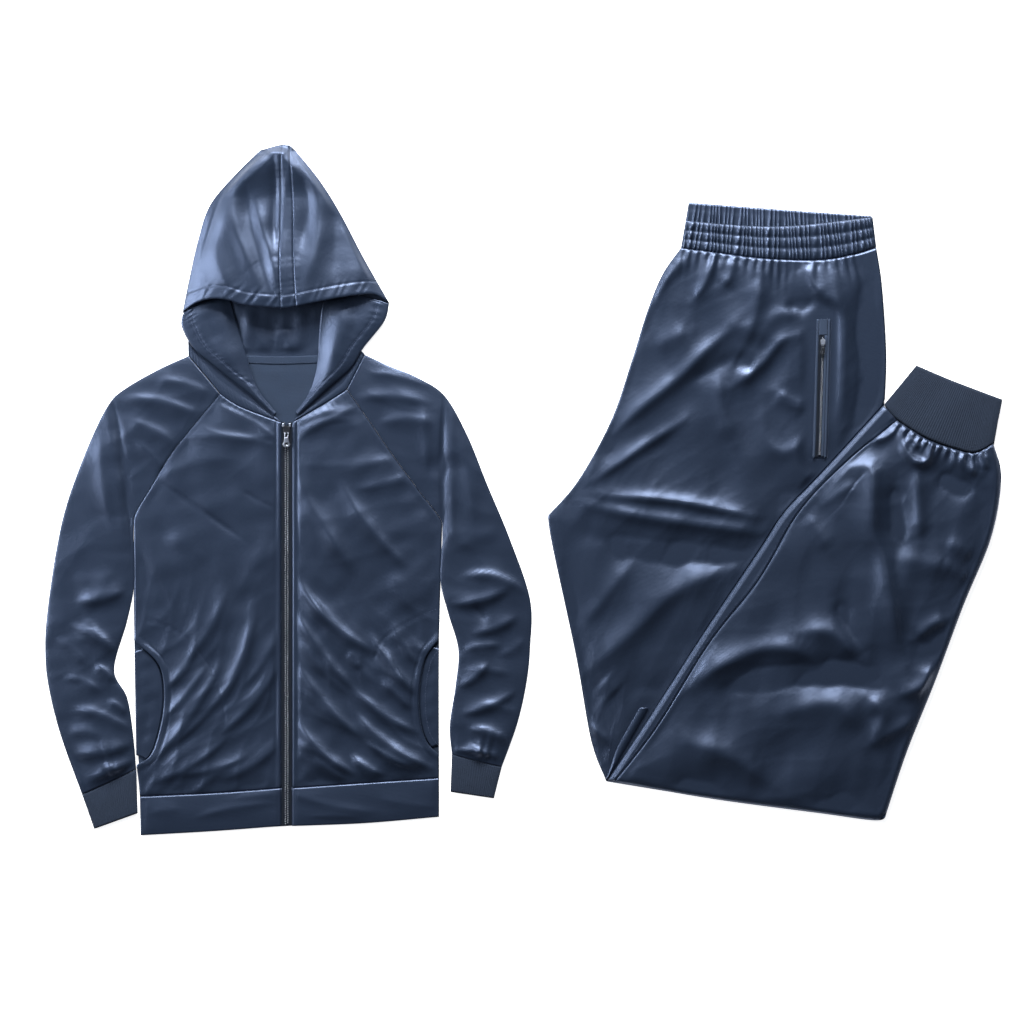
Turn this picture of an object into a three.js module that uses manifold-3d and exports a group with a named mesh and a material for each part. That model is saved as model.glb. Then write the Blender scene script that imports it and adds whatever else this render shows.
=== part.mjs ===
import * as THREE from 'three';
import Module from 'manifold-3d';
import { mergeVertices } from 'three/addons/utils/BufferGeometryUtils.js';

// A hooded zip jacket and a pair of joggers, laid flat side by side on a floor at z = 0.
// Millimetres, +Z up, +Y towards the hood and the waistband.

// Driving sizes
const WALL = 1.6; // cloth with its seam allowance
const RIB_WALL = 2.2; // knitted cuffs
const SEAM = 0.6; // clear gap between two sewn pieces
const LIE = 0.4; // clear gap between two layers
const JACKET_AT = new THREE.Vector2(-332.5, -472.5); // bottom of the front zip
const JOGGERS_AT = new THREE.Vector2(32.9, -39.9); // crotch point
const FRONT_UNDER = WALL + LIE; // underside of the jacket front
const SLEEVE_HIGH = 5.2; // top of a flattened sleeve
const TUBE_EDGE = 3; // height of the fold along a flattened tube's edge
const ZIP = { tape: 7, chain: 2.3, chainLow: 2.2, chainHigh: 4.4, tapeLow: 2.5, tapeHigh: 3.5 };
const STACK = { leg: 7, folded: 14.2, cuff: 6.3 }; // hidden layers under leg, folded leg, cuff
const WAIST = { gathers: 42, deep: 1.2, low: 3.2, channels: 3 };
const HOOD_RISE = 14; // lift of the brim over the layer behind it

const CLOTH = { color: 0x2b3a55, roughness: 0.5, metalness: 0 };
const RIB = { color: 0x29364a, roughness: 0.9, metalness: 0 };
const TAPE = { color: 0x14171d, roughness: 0.8, metalness: 0 };
const METAL = { color: 0x8a8d90, roughness: 0.35, metalness: 1 };

const wasm = await Module();
wasm.setup();

// Curves

const clamp = THREE.MathUtils.clamp;
const mix = THREE.MathUtils.lerp;
const ease = (low, high, value) => THREE.MathUtils.smoothstep(value, low, high);

// A smooth line through a few points given as x, y pairs; t runs by length.
function line(pairs) {
  const curve = new THREE.SplineCurve(pairs.map(([x, y]) => new THREE.Vector2(x, y)));
  return (t) => curve.getPointAt(clamp(t, 0, 1));
}

// A smooth line through the points of a table's two columns; t runs by row.
function byRow(rows, x, y) {
  const curve = new THREE.SplineCurve(rows.map((row) => new THREE.Vector2(row[x], row[y])));
  return (t) => curve.getPoint(clamp(t, 0, 1));
}

// Lines joined end to end, each with its share of t.
function chain(parts) {
  return (t) => {
    let from = 0;
    for (const [index, part] of parts.entries()) {
      if (t <= from + part.share + 1e-9 || index === parts.length - 1) {
        return part.line(clamp((t - from) / part.share, 0, 1));
      }
      from += part.share;
    }
    return parts[0].line(0);
  };
}

const moved = (path, x, y) => (t) => path(t).clone().add(new THREE.Vector2(x, y));
const reversed = (path) => (t) => path(1 - t);
const sampled = (path, count) => Array.from({ length: count + 1 }, (_, i) => path(i / count));

// The patch that four lines bound: u from west to east, v from south to north.
function patch({ west, east, south, north }) {
  const corners = [south(0), south(1), north(0), north(1)];
  const blend = (u, v, axis) => {
    const ruled = mix(west(v)[axis], east(v)[axis], u) + mix(south(u)[axis], north(u)[axis], v);
    const low = mix(corners[0][axis], corners[1][axis], u);
    const high = mix(corners[2][axis], corners[3][axis], u);
    return ruled - mix(low, high, v);
  };
  return (u, v) => new THREE.Vector2(blend(u, v, 'x'), blend(u, v, 'y'));
}

// Shortest distance from a point to a run of straight stretches.
function distance(point, run) {
  let best = Infinity;
  for (let i = 1; i < run.length; i += 1) {
    const side = run[i].clone().sub(run[i - 1]);
    const from = point.clone().sub(run[i - 1]);
    const along = clamp(from.dot(side) / side.lengthSq(), 0, 1);
    best = Math.min(best, from.sub(side.multiplyScalar(along)).length());
  }
  return best;
}

// Folds: each row is a soft ridge, or a trough where high is below zero, from one point to
// another. bow is how far its middle swings to the left of that way, wide is its half width.
function foldHeight(folds, point) {
  let height = 0;
  for (const fold of folds) {
    const way = new THREE.Vector2(fold.x2 - fold.x1, fold.y2 - fold.y1);
    const from = point.clone().sub(new THREE.Vector2(fold.x1, fold.y1));
    const along = from.dot(way) / way.lengthSq();
    const across = way.cross(from) / way.length() - fold.bow * 4 * along * (1 - along);
    const fade = ease(-0.12, 0.25, along) * (1 - ease(0.75, 1.12, along));
    height += fold.high * Math.exp(-((across / fold.wide) ** 2)) * fade;
  }
  return height;
}

// Solids

// A closed wall between an outer and an inner grid of points, with rims on its four sides.
function wall(outer, inner) {
  const rows = outer.length;
  const cols = outer[0].length;
  const faces = [];
  const at = (side, i, j) => (side * rows + i) * cols + j;
  const quad = (a, b, c, d) => faces.push(a, b, c, a, c, d);
  for (let i = 0; i < rows - 1; i += 1) {
    for (let j = 0; j < cols - 1; j += 1) {
      quad(at(0, i, j), at(0, i, j + 1), at(0, i + 1, j + 1), at(0, i + 1, j));
      quad(at(1, i, j), at(1, i + 1, j), at(1, i + 1, j + 1), at(1, i, j + 1));
    }
  }
  const last = { i: rows - 1, j: cols - 1 };
  for (let j = 0; j < last.j; j += 1) {
    quad(at(1, 0, j), at(1, 0, j + 1), at(0, 0, j + 1), at(0, 0, j));
    quad(at(0, last.i, j), at(0, last.i, j + 1), at(1, last.i, j + 1), at(1, last.i, j));
  }
  for (let i = 0; i < last.i; i += 1) {
    quad(at(0, i, 0), at(0, i + 1, 0), at(1, i + 1, 0), at(1, i, 0));
    quad(at(1, i, last.j), at(1, i + 1, last.j), at(0, i + 1, last.j), at(0, i, last.j));
  }
  return facing([...outer.flat(), ...inner.flat()], faces);
}

// A geometry of these points and faces, turned so that its faces point out.
function facing(points, faces) {
  let volume = 0;
  for (let f = 0; f < faces.length; f += 3) {
    const [a, b, c] = faces.slice(f, f + 3).map((index) => points[index]);
    volume += a.dot(b.clone().cross(c));
  }
  const geometry = new THREE.BufferGeometry().setFromPoints(points);
  geometry.setIndex(volume < 0 ? faces.reverse() : faces);
  return geometry;
}

// Steps from 0 to 1, with a first and a last step of a size of their own.
function steps(count, first = 1 / count, last = 1 / count) {
  const inner = Array.from({ length: count - 1 }, (_, i) => mix(first, 1 - last, i / (count - 2)));
  return [0, ...inner, 1];
}

// A sheet of cloth: its place in plan, and the height of its top at each point.
function sheet({ across, along, place, top, thick = WALL }) {
  const outer = [];
  const inner = [];
  const columns = Array.isArray(across) ? across : sampled((t) => t, across);
  const lines = Array.isArray(along) ? along : sampled((t) => t, along);
  for (const v of lines) {
    const row = columns.map((u) => {
      const point = place(u, v);
      return new THREE.Vector3(point.x, point.y, top(point, u, v));
    });
    outer.push(row);
    inner.push(row.map((point) => new THREE.Vector3(point.x, point.y, point.z - thick)));
  }
  return wall(outer, inner);
}

// A flattened tube, cut along its inner edge where its seam is. place takes a from -1 at
// the outer fold to 1 at the seam. open is 1 where the seam edges part to join a body.
function flatTube({ upper, lower, along, place, top, rest, open, thick }) {
  const outer = [];
  const inner = [];
  for (let i = 0; i <= along; i += 1) {
    const t = i / along;
    const parted = open(t);
    const ring = [];
    const lining = [];
    for (let k = 0; k <= upper + lower; k += 1) {
      const above = k <= upper;
      const turn = above ? (Math.PI * k) / upper : Math.PI * (1 + (k - upper) / lower);
      const a = Math.cos(turn);
      const round = Math.abs(Math.sin(turn));
      const half = place(1, t).distanceTo(place(-1, t)) / 2;
      const inset = thick / half;
      const point = place(a, t);
      const within = place(a > 0 ? a * (1 - inset * (1 - parted)) : a * (1 - inset), t);
      const seam = a > 0 ? parted : 0;
      const gap = a > 0 ? LIE / 2 : 0;
      const high = top(point, t);
      if (above) {
        const edge = mix(rest + TUBE_EDGE + gap, rest + FRONT_UNDER + WALL, seam);
        ring.push(new THREE.Vector3(point.x, point.y, edge + (high - edge) * round ** 0.6));
        const low = edge - thick * seam;
        lining.push(new THREE.Vector3(within.x, within.y, low + (high - thick - low) * round ** 0.6));
      } else {
        const edge = mix(rest + TUBE_EDGE - gap, rest, seam);
        const sunk = Math.max(0, 1 - 3 * round);
        ring.push(new THREE.Vector3(point.x, point.y, rest + (edge - rest) * sunk));
        const low = rest + thick;
        const lift = edge + thick * seam;
        lining.push(new THREE.Vector3(within.x, within.y, low + (lift - low) * sunk));
      }
    }
    outer.push(ring);
    inner.push(lining);
  }
  return wall(outer, inner);
}

// An outline drawn in by a distance, each corner mitred.
function drawnIn(outline, inset) {
  return outline.map((point, index) => {
    const before = outline[(index + outline.length - 1) % outline.length];
    const after = outline[(index + 1) % outline.length];
    const came = point.clone().sub(before).normalize();
    const goes = after.clone().sub(point).normalize();
    const normal = new THREE.Vector2(-came.y - goes.y, came.x + goes.x).normalize();
    const slant = Math.max(0.35, normal.dot(new THREE.Vector2(-came.y, came.x)));
    return point.clone().addScaledVector(normal, inset / slant);
  });
}

// A pile of hidden layers: one outline, given anticlockwise, at levels of height and inset.
function pile(outline, levels) {
  const count = outline.length;
  const points = [];
  for (const level of levels) {
    const ring = drawnIn(outline, level.inset);
    points.push(...ring.map((point) => new THREE.Vector3(point.x, point.y, level.high)));
  }
  const faces = [];
  for (let l = 0; l < levels.length - 1; l += 1) {
    for (let i = 0; i < count; i += 1) {
      const next = (i + 1) % count;
      const [a, b, c, d] = [l * count + i, l * count + next, (l + 1) * count + next, (l + 1) * count + i];
      faces.push(a, b, c, a, c, d);
    }
  }
  const top = (levels.length - 1) * count;
  const plan = (from) => points.slice(from, from + count).map((p) => new THREE.Vector2(p.x, p.y));
  for (const [a, b, c] of THREE.ShapeUtils.triangulateShape(plan(top), [])) {
    faces.push(top + a, top + b, top + c);
  }
  for (const [a, b, c] of THREE.ShapeUtils.triangulateShape(plan(0), [])) {
    faces.push(c, b, a);
  }
  return facing(points, faces);
}

function toSolid(geometry) {
  const bare = geometry.clone();
  bare.deleteAttribute('normal');
  bare.deleteAttribute('uv');
  const merged = mergeVertices(bare, 1e-4);
  return new wasm.Manifold(new wasm.Mesh({
    numProp: 3,
    vertProperties: new Float32Array(merged.attributes.position.array),
    triVerts: new Uint32Array(merged.index.array),
  }));
}

function toGeometry(solid) {
  const mesh = solid.getMesh();
  const geometry = new THREE.BufferGeometry();
  geometry.setAttribute('position', new THREE.BufferAttribute(mesh.vertProperties, 3));
  geometry.setIndex(new THREE.BufferAttribute(mesh.triVerts, 1));
  return geometry;
}

const joined = (geometries) => toGeometry(geometries.map(toSolid).reduce((all, one) => all.add(one)));

function boxAt(x1, x2, y1, y2, z1, z2) {
  const box = new THREE.BoxGeometry(x2 - x1, y2 - y1, z2 - z1);
  return box.translate((x1 + x2) / 2, (y1 + y2) / 2, (z1 + z2) / 2);
}

const jacket = new THREE.Group();
jacket.position.set(JACKET_AT.x, JACKET_AT.y, 0);
const joggers = new THREE.Group();
joggers.position.set(JOGGERS_AT.x, JOGGERS_AT.y, 0);

function add(garment, name, geometry, finish) {
  const mesh = new THREE.Mesh(geometry, new THREE.MeshStandardMaterial(finish));
  mesh.name = name;
  garment.add(mesh);
  return mesh;
}

// Jacket outlines. x runs from the zip to the right, y up from the bottom of the zip.

const ZIP_TOP = 567;
const FRONT_EDGE = 8; // from the middle of the zip to the edge of each front
const HEM_TOP = { front: 53, back: 54 }; // the hem band's seam at the middle
const NECK_BACK = { x: 62, y: 655 }; // end of the back neck seam
const ARMPIT_ROW = 4; // of the sleeve tables
const CUFF_HIGH = 5.8; // top of a flattened sleeve cuff
const SIDES = {
  left: {
    sign: -1,
    sleeve: [
      { at: 'neck', outX: -138, outY: 660, inX: -94, inY: 607 },
      { at: 'yoke', outX: -180, outY: 641, inX: -130, inY: 564 },
      { at: 'shoulder', outX: -227, outY: 614, inX: -163.5, inY: 521 },
      { at: 'cap', outX: -250, outY: 592, inX: -190, inY: 477 },
      { at: 'armpit', outX: -276, outY: 540, inX: -215.6, inY: 432 },
      { at: 'upper arm', outX: -307, outY: 458, inX: -219, inY: 391 },
      { at: 'mid arm', outX: -323, outY: 390, inX: -219, inY: 336 },
      { at: 'above elbow', outX: -336, outY: 301, inX: -229, inY: 287 },
      { at: 'elbow', outX: -339, outY: 250, inX: -242, inY: 220 },
      { at: 'below elbow', outX: -335, outY: 200, inX: -224, inY: 181 },
      { at: 'forearm', outX: -318, outY: 130, inX: -216, inY: 134 },
      { at: 'cuff seam', outX: -287, outY: 44, inX: -211, inY: 80 },
    ],
    cuffEnd: { outX: -270, outY: -4, inX: -209, inY: 18 },
    hem: [[-205, -13], [-100, -7], [-FRONT_EDGE, 0]],
    hemSeam: [[-206, 41], [-100, 46], [-FRONT_EDGE, HEM_TOP.front]],
    lowSide: [[-206, 41], [-208, 64], [-211, 86]],
    pocket: [[-211, 86], [-190, 101], [-176, 145], [-172, 190], [-181, 229], [-214, 259]],
    highSide: [[-214, 259], [-214, 345], [-214.6, 432]],
    neckMiddle: [-66, 589],
    folds: [
      { x1: -104, y1: 594, x2: -12, y2: 542, bow: 4, wide: 8, high: 3.6 },
      { x1: -150, y1: 547, x2: -14, y2: 534, bow: 5, wide: 7, high: 3 },
      { x1: -176, y1: 492, x2: -70, y2: 516, bow: 6, wide: 13, high: 3 },
      { x1: -193, y1: 86, x2: -97, y2: 222, bow: -7, wide: 10, high: 3.6 },
      { x1: -186, y1: 62, x2: -84, y2: 124, bow: -7, wide: 9, high: 3.4 },
      { x1: -92, y1: 130, x2: -12, y2: 226, bow: -7, wide: 9, high: 3.6 },
      { x1: -90, y1: 66, x2: -14, y2: 112, bow: -5, wide: 9, high: 3 },
      { x1: -92, y1: 172, x2: -44, y2: 310, bow: -8, wide: 10, high: 3.4 },
      { x1: -134, y1: 240, x2: -84, y2: 330, bow: -5, wide: 10, high: 2.8 },
      { x1: -70, y1: 330, x2: -24, y2: 420, bow: -6, wide: 16, high: 2.2 },
    ],
    sleeveFolds: [
      { x1: -246, y1: 604, x2: -222, y2: 400, bow: 4, wide: 7, high: -3 },
      { x1: -180, y1: 626, x2: -100, y2: 606, bow: 4, wide: 8, high: 2.6 },
      { x1: -232, y1: 600, x2: -128, y2: 580, bow: 6, wide: 9, high: 3.4 },
      { x1: -226, y1: 570, x2: -152, y2: 532, bow: 5, wide: 10, high: 3 },
      { x1: -262, y1: 560, x2: -246, y2: 420, bow: -4, wide: 10, high: 2.4 },
      { x1: -292, y1: 316, x2: -226, y2: 328, bow: -4, wide: 9, high: 4 },
      { x1: -300, y1: 282, x2: -238, y2: 244, bow: 5, wide: 8, high: 5 },
      { x1: -268, y1: 226, x2: -240, y2: 204, bow: 2, wide: 6, high: 3.4 },
      { x1: -296, y1: 164, x2: -220, y2: 136, bow: 5, wide: 9, high: 4.4 },
      { x1: -298, y1: 100, x2: -216, y2: 116, bow: -4, wide: 8, high: 4.6 },
      { x1: -276, y1: 66, x2: -216, y2: 92, bow: -3, wide: 6, high: 3 },
    ],
  },
  right: {
    sign: 1,
    sleeve: [
      { at: 'neck', outX: 110, outY: 662, inX: 85, inY: 613 },
      { at: 'yoke', outX: 144, outY: 646, inX: 118, inY: 566 },
      { at: 'shoulder', outX: 183, outY: 630, inX: 149, inY: 521 },
      { at: 'cap', outX: 222, outY: 604, inX: 185, inY: 472 },
      { at: 'armpit', outX: 254, outY: 548, inX: 219.5, inY: 425 },
      { at: 'upper arm', outX: 282, outY: 479, inX: 220.5, inY: 386 },
      { at: 'mid arm', outX: 314, outY: 402, inX: 220.5, inY: 342 },
      { at: 'above elbow', outX: 342, outY: 318, inX: 230, inY: 298 },
      { at: 'elbow', outX: 342, outY: 252, inX: 241, inY: 248 },
      { at: 'below elbow', outX: 337, outY: 202, inX: 237, inY: 197 },
      { at: 'forearm', outX: 324, outY: 144, inX: 229, inY: 142 },
      { at: 'cuff seam', outX: 302, outY: 83, inX: 232, inY: 101 },
    ],
    cuffEnd: { outX: 291, outY: 39, inX: 230, inY: 48 },
    hem: [[214, 13], [110, 4], [FRONT_EDGE, 0]],
    hemSeam: [[214, 67], [110, 60], [FRONT_EDGE, HEM_TOP.front]],
    lowSide: [[214, 67], [214, 86], [213, 101]],
    pocket: [[213, 101], [196, 120], [187, 150], [186, 192], [195, 236], [214, 262]],
    highSide: [[214, 262], [216, 340], [218.5, 425]],
    neckMiddle: [55, 594],
    folds: [
      { x1: 12, y1: 542, x2: 104, y2: 590, bow: 4, wide: 8, high: 3.6 },
      { x1: 12, y1: 566, x2: 76, y2: 586, bow: 2, wide: 6, high: 2.4 },
      { x1: 24, y1: 508, x2: 162, y2: 520, bow: -8, wide: 12, high: 3 },
      { x1: 100, y1: 474, x2: 176, y2: 494, bow: -3, wide: 9, high: 3 },
      { x1: 14, y1: 492, x2: 90, y2: 366, bow: -5, wide: 13, high: 3.2 },
      { x1: 74, y1: 486, x2: 164, y2: 368, bow: -6, wide: 10, high: 3.4 },
      { x1: 14, y1: 300, x2: 98, y2: 188, bow: -5, wide: 8, high: 3.6 },
      { x1: 26, y1: 330, x2: 120, y2: 246, bow: -8, wide: 10, high: 3.4 },
      { x1: 120, y1: 268, x2: 184, y2: 184, bow: -5, wide: 7, high: 3.2 },
      { x1: 20, y1: 222, x2: 92, y2: 134, bow: -5, wide: 9, high: 3.2 },
      { x1: 18, y1: 144, x2: 94, y2: 74, bow: -8, wide: 8, high: 3.6 },
      { x1: 96, y1: 158, x2: 208, y2: 80, bow: -9, wide: 10, high: 4 },
      { x1: 98, y1: 188, x2: 184, y2: 132, bow: -6, wide: 8, high: 3 },
      { x1: 92, y1: 98, x2: 136, y2: 72, bow: -3, wide: 7, high: 2.6 },
    ],
    sleeveFolds: [
      { x1: 221, y1: 604, x2: 222, y2: 400, bow: -3, wide: 7, high: -3 },
      { x1: 104, y1: 602, x2: 200, y2: 594, bow: 5, wide: 9, high: 3 },
      { x1: 132, y1: 566, x2: 206, y2: 566, bow: 5, wide: 9, high: 2.6 },
      { x1: 190, y1: 590, x2: 196, y2: 500, bow: 3, wide: 9, high: 2.8 },
      { x1: 236, y1: 570, x2: 262, y2: 430, bow: 6, wide: 10, high: 2.4 },
      { x1: 250, y1: 352, x2: 336, y2: 328, bow: 10, wide: 8, high: 5 },
      { x1: 232, y1: 312, x2: 312, y2: 334, bow: -6, wide: 8, high: 4.4 },
      { x1: 262, y1: 270, x2: 322, y2: 292, bow: -3, wide: 8, high: 3.8 },
      { x1: 250, y1: 248, x2: 300, y2: 254, bow: 2, wide: 7, high: 3 },
      { x1: 242, y1: 196, x2: 282, y2: 228, bow: -4, wide: 8, high: 3.6 },
      { x1: 248, y1: 158, x2: 320, y2: 188, bow: -4, wide: 8, high: 4 },
      { x1: 258, y1: 138, x2: 312, y2: 120, bow: 3, wide: 7, high: 3.6 },
      { x1: 236, y1: 106, x2: 300, y2: 96, bow: 4, wide: 6, high: 3.4 },
    ],
  },
};

// The raglan seam, from the neck down to the armpit.
const raglan = (side) => {
  const whole = byRow(side.sleeve, 'inX', 'inY');
  const share = ARMPIT_ROW / (side.sleeve.length - 1);
  return (t) => whole(t * share);
};

// Jacket back, flat on the floor, with its hem band.
const BACK_ROWS = { side: 9, raglan: 4, shoulder: 2 };
const BACK_ALONG = BACK_ROWS.side + BACK_ROWS.raglan + BACK_ROWS.shoulder;

function jacketBack() {
  const { left, right } = SIDES;
  const sideOf = (side) => {
    const inward = -side.sign * 2 * SEAM;
    const { inX, inY } = side.sleeve[0];
    const neckEnd = [side.sign * NECK_BACK.x, NECK_BACK.y];
    return chain([
      {
        line: line([side.hemSeam[0], side.highSide[0], side.highSide.at(-1)]),
        share: BACK_ROWS.side / BACK_ALONG,
      },
      { line: moved(reversed(raglan(side)), inward, 0), share: BACK_ROWS.raglan / BACK_ALONG },
      { line: line([[inX + inward, inY], neckEnd]), share: BACK_ROWS.shoulder / BACK_ALONG },
    ]);
  };
  const hemSeam = line([left.hemSeam[0], [0, HEM_TOP.back], right.hemSeam[0]]);
  const place = patch({
    west: sideOf(left),
    east: sideOf(right),
    south: hemSeam,
    north: line([[-NECK_BACK.x, NECK_BACK.y], [0, NECK_BACK.y - 2], [NECK_BACK.x, NECK_BACK.y]]),
  });
  const panel = { across: 4, along: BACK_ALONG, place, top: () => WALL };
  add(jacket, 'jacket_back', sheet(panel), CLOTH);
  const bandPlace = patch({
    west: line([left.hem[0], [left.hemSeam[0][0], left.hemSeam[0][1] - SEAM]]),
    east: line([right.hem[0], [right.hemSeam[0][0], right.hemSeam[0][1] - SEAM]]),
    south: line([left.hem[0], [0, 0], right.hem[0]]),
    north: moved(hemSeam, 0, -SEAM),
  });
  add(jacket, 'hem_band_back', sheet({ across: 4, along: 1, place: bandPlace, top: () => WALL }), CLOTH);
}

// One half of the front: side, pocket mouth, raglan seam and neck.
const FRONT_ROWS = { lowSide: 2, pocket: 8, highSide: 7, raglan: 11 };
const FRONT_ALONG = Object.values(FRONT_ROWS).reduce((all, one) => all + one);
const POCKET_LIP = { high: 1.4, wide: 12, clear: 1.6 };
const POCKET_WALL = 1.2;
const FRONT_PUFF = { high: 1.6, from: 30 }; // the panel's rise, and how far in it is reached

function frontEdges(side) {
  const shared = (key, path) => ({ line: path, share: FRONT_ROWS[key] / FRONT_ALONG });
  const outer = chain([
    shared('lowSide', line(side.lowSide)),
    shared('pocket', line(side.pocket)),
    shared('highSide', line(side.highSide)),
    shared('raglan', moved(reversed(raglan(side)), -side.sign * SEAM, 0)),
  ]);
  const zipX = side.sign * FRONT_EDGE;
  const zip = line([[zipX, HEM_TOP.front], [zipX, ZIP_TOP / 2], [zipX, ZIP_TOP]]);
  const neck = line([outer(1).toArray(), side.neckMiddle, [zipX, ZIP_TOP]]);
  return { outer, zip, neck, hem: line(side.hemSeam) };
}

function jacketFront(name, side) {
  const edges = frontEdges(side);
  const place = patch({ west: edges.outer, east: edges.zip, south: edges.hem, north: edges.neck });
  const outerRun = sampled(edges.outer, 3 * FRONT_ALONG);
  const zipRun = sampled(edges.zip, 4);
  const pocketRun = sampled(line(side.pocket), 16);
  const ends = [sampled(edges.hem, 6), sampled(edges.neck, 8)];
  const top = (point) => {
    const fromSide = distance(point, outerRun);
    const fromZip = distance(point, zipRun);
    const fromEnds = Math.min(...ends.map((run) => distance(point, run)));
    const inside = Math.min(fromSide, fromZip, fromEnds);
    const puff = FRONT_PUFF.high * ease(0, FRONT_PUFF.from, inside);
    const free = ease(0, 12, fromSide) * ease(0, 7, fromZip) * ease(0, 8, fromEnds);
    const lip = POCKET_LIP.high * Math.exp(-((distance(point, pocketRun) / POCKET_LIP.wide) ** 2));
    return FRONT_UNDER + WALL + puff + lip + Math.max(0, foldHeight(side.folds, point)) * free;
  };
  add(jacket, `front_${name}`, sheet({ across: 12, along: FRONT_ALONG, place, top }), CLOTH);

  // The pocket's back, which shows in its mouth.
  const trim = (path) => (t) => path(mix(0.08, 0.92, t));
  const bagSide = trim(line([side.pocket[0], side.highSide[0]]));
  const bagMouth = trim(moved(line(side.pocket), side.sign * POCKET_LIP.clear, 0));
  const span = (t) => line([bagSide(t).toArray(), bagMouth(t).toArray()]);
  const bagPlace = (u, v) => span(v)(u);
  const bag = { across: 3, along: 8, place: bagPlace, thick: POCKET_WALL };
  const bagTop = () => WALL + LIE - 0.1 + POCKET_WALL;
  add(jacket, `pocket_${name}`, sheet({ ...bag, top: bagTop }), CLOTH);

  const seam = moved(edges.hem, 0, -SEAM);
  const end = seam(1);
  const bandPlace = patch({
    west: line([side.hem[0], seam(0).toArray()]),
    east: line([[end.x, 0], [end.x, end.y]]),
    south: line([side.hem[0], side.hem[1], [end.x, 0]]),
    north: seam,
  });
  const roll = (u, v) => 1.4 * Math.sin(Math.PI * v) * ease(0, 0.15, u);
  const bandTop = (point, u, v) => FRONT_UNDER + WALL + roll(u, v);
  add(jacket, `hem_band_${name}`, sheet({ across: 8, along: 4, place: bandPlace, top: bandTop }), CLOTH);
}

// A raglan sleeve runs from the neck to its cuff as one flattened tube, open to the body
// above the armpit.
function sleeve(name, side) {
  const outerFold = byRow(side.sleeve, 'outX', 'outY');
  const seam = byRow(side.sleeve, 'inX', 'inY');
  const place = (a, t) => outerFold(t).lerp(seam(t), (1 + a) / 2);
  const armpit = ARMPIT_ROW / (side.sleeve.length - 1);
  const open = (t) => 1 - ease(armpit, armpit + 0.05, t);
  const top = (point, t) => {
    const free = ease(0, 0.06, t) * (1 - ease(0.97, 1, t));
    const crown = 1.2 * ease(armpit, armpit + 0.1, t) * (1 - ease(0.96, 1, t));
    const folds = foldHeight(side.sleeveFolds, point) * free;
    return Math.max(SLEEVE_HIGH - 0.6, SLEEVE_HIGH + crown + folds);
  };
  const shape = { upper: 7, lower: 3, along: 33, place, top, rest: 0, open, thick: WALL };
  add(jacket, `sleeve_${name}`, flatTube(shape), CLOTH);

  const from = side.sleeve.at(-1);
  const start = [new THREE.Vector2(from.outX, from.outY), new THREE.Vector2(from.inX, from.inY)];
  const { outX, outY, inX, inY } = side.cuffEnd;
  const end = [new THREE.Vector2(outX, outY), new THREE.Vector2(inX, inY)];
  const gap = SEAM / start[0].distanceTo(end[0]);
  const cuffPlace = (a, t) => {
    const [outer, inner] = [0, 1].map((k) => start[k].clone().lerp(end[k], mix(gap, 1, t)));
    return outer.lerp(inner, (1 + a) / 2);
  };
  const cuff = { upper: 8, lower: 4, along: 2, place: cuffPlace, top: () => CUFF_HIGH, rest: 0 };
  add(jacket, `cuff_${name}`, flatTube({ ...cuff, open: () => 0, thick: RIB_WALL }), RIB);
}

// Hood. Each row runs from the turned hem, which lies outside, to the fold where the side
// turns down to the hood's back.

const HOOD_SIDES = {
  left: [
    { at: 'zip', edgeX: -18, edgeY: 576, foldX: -15, foldY: 581, bow: 0, high: 0 },
    { at: 'front', edgeX: -48, edgeY: 603, foldX: -38, foldY: 609, bow: 0, high: 2 },
    { at: 'collar', edgeX: -83, edgeY: 631, foldX: -49, foldY: 634, bow: 0, high: 4 },
    { at: 'shoulder', edgeX: -109, edgeY: 652, foldX: -57, foldY: 662, bow: 0, high: 5 },
    { at: 'cheek', edgeX: -131, edgeY: 671, foldX: -67, foldY: 696, bow: 0, high: 5 },
    { at: 'temple', edgeX: -147, edgeY: 701, foldX: -77, foldY: 733, bow: 3, high: 4 },
    { at: 'brim', edgeX: -146, edgeY: 718, foldX: -82, foldY: 752, bow: 5, high: -1 },
  ],
  right: [
    { at: 'zip', edgeX: 17, edgeY: 577, foldX: 13, foldY: 582, bow: 0, high: 0 },
    { at: 'front', edgeX: 38, edgeY: 596, foldX: 26, foldY: 599, bow: 0, high: 2 },
    { at: 'collar', edgeX: 65, edgeY: 620, foldX: 36, foldY: 620, bow: 0, high: 4 },
    { at: 'shoulder', edgeX: 91, edgeY: 644, foldX: 43, foldY: 650, bow: 0, high: 5 },
    { at: 'cheek', edgeX: 108, edgeY: 671, foldX: 45, foldY: 681, bow: 0, high: 5 },
    { at: 'temple', edgeX: 137, edgeY: 708, foldX: 48, foldY: 718, bow: 2, high: 4 },
    { at: 'brim', edgeX: 144, edgeY: 733, foldX: 53, foldY: 750, bow: 4, high: -1 },
  ],
};
const HOOD_FOOT = { left: 5, right: 4 }; // the row that each foot reaches under
const HOOD_FLAP = { edge: 6.2, fold: 3.8 }; // tops of the turned hem and of the fold inside it
const HOOD_OUTLINE = {
  left: [[-146, 722], [-137, 767], [-124, 824], [-107, 873], [-69, 918], [-37, 949]],
  right: [[144, 735], [137, 747], [107, 800], [75, 861], [46, 907], [12, 949]],
};
const HOOD_SEAMS = {
  left: [[-7, 726], [-10, 800], [-9, 870], [-7, 956]],
  right: [[14, 728.5], [10, 800], [9, 870], [4, 956]],
};
const BRIM = {
  left: [[-146, 722], [-128, 733], [-107, 739], [-83, 738], [-56, 730], [-7, 726]],
  middle: [[-6.4, 726], [3, 726.5], [13.4, 728.5]],
  right: [[144, 735], [126, 745.5], [105, 745.5], [65, 739], [14.6, 728.5]],
};
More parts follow.
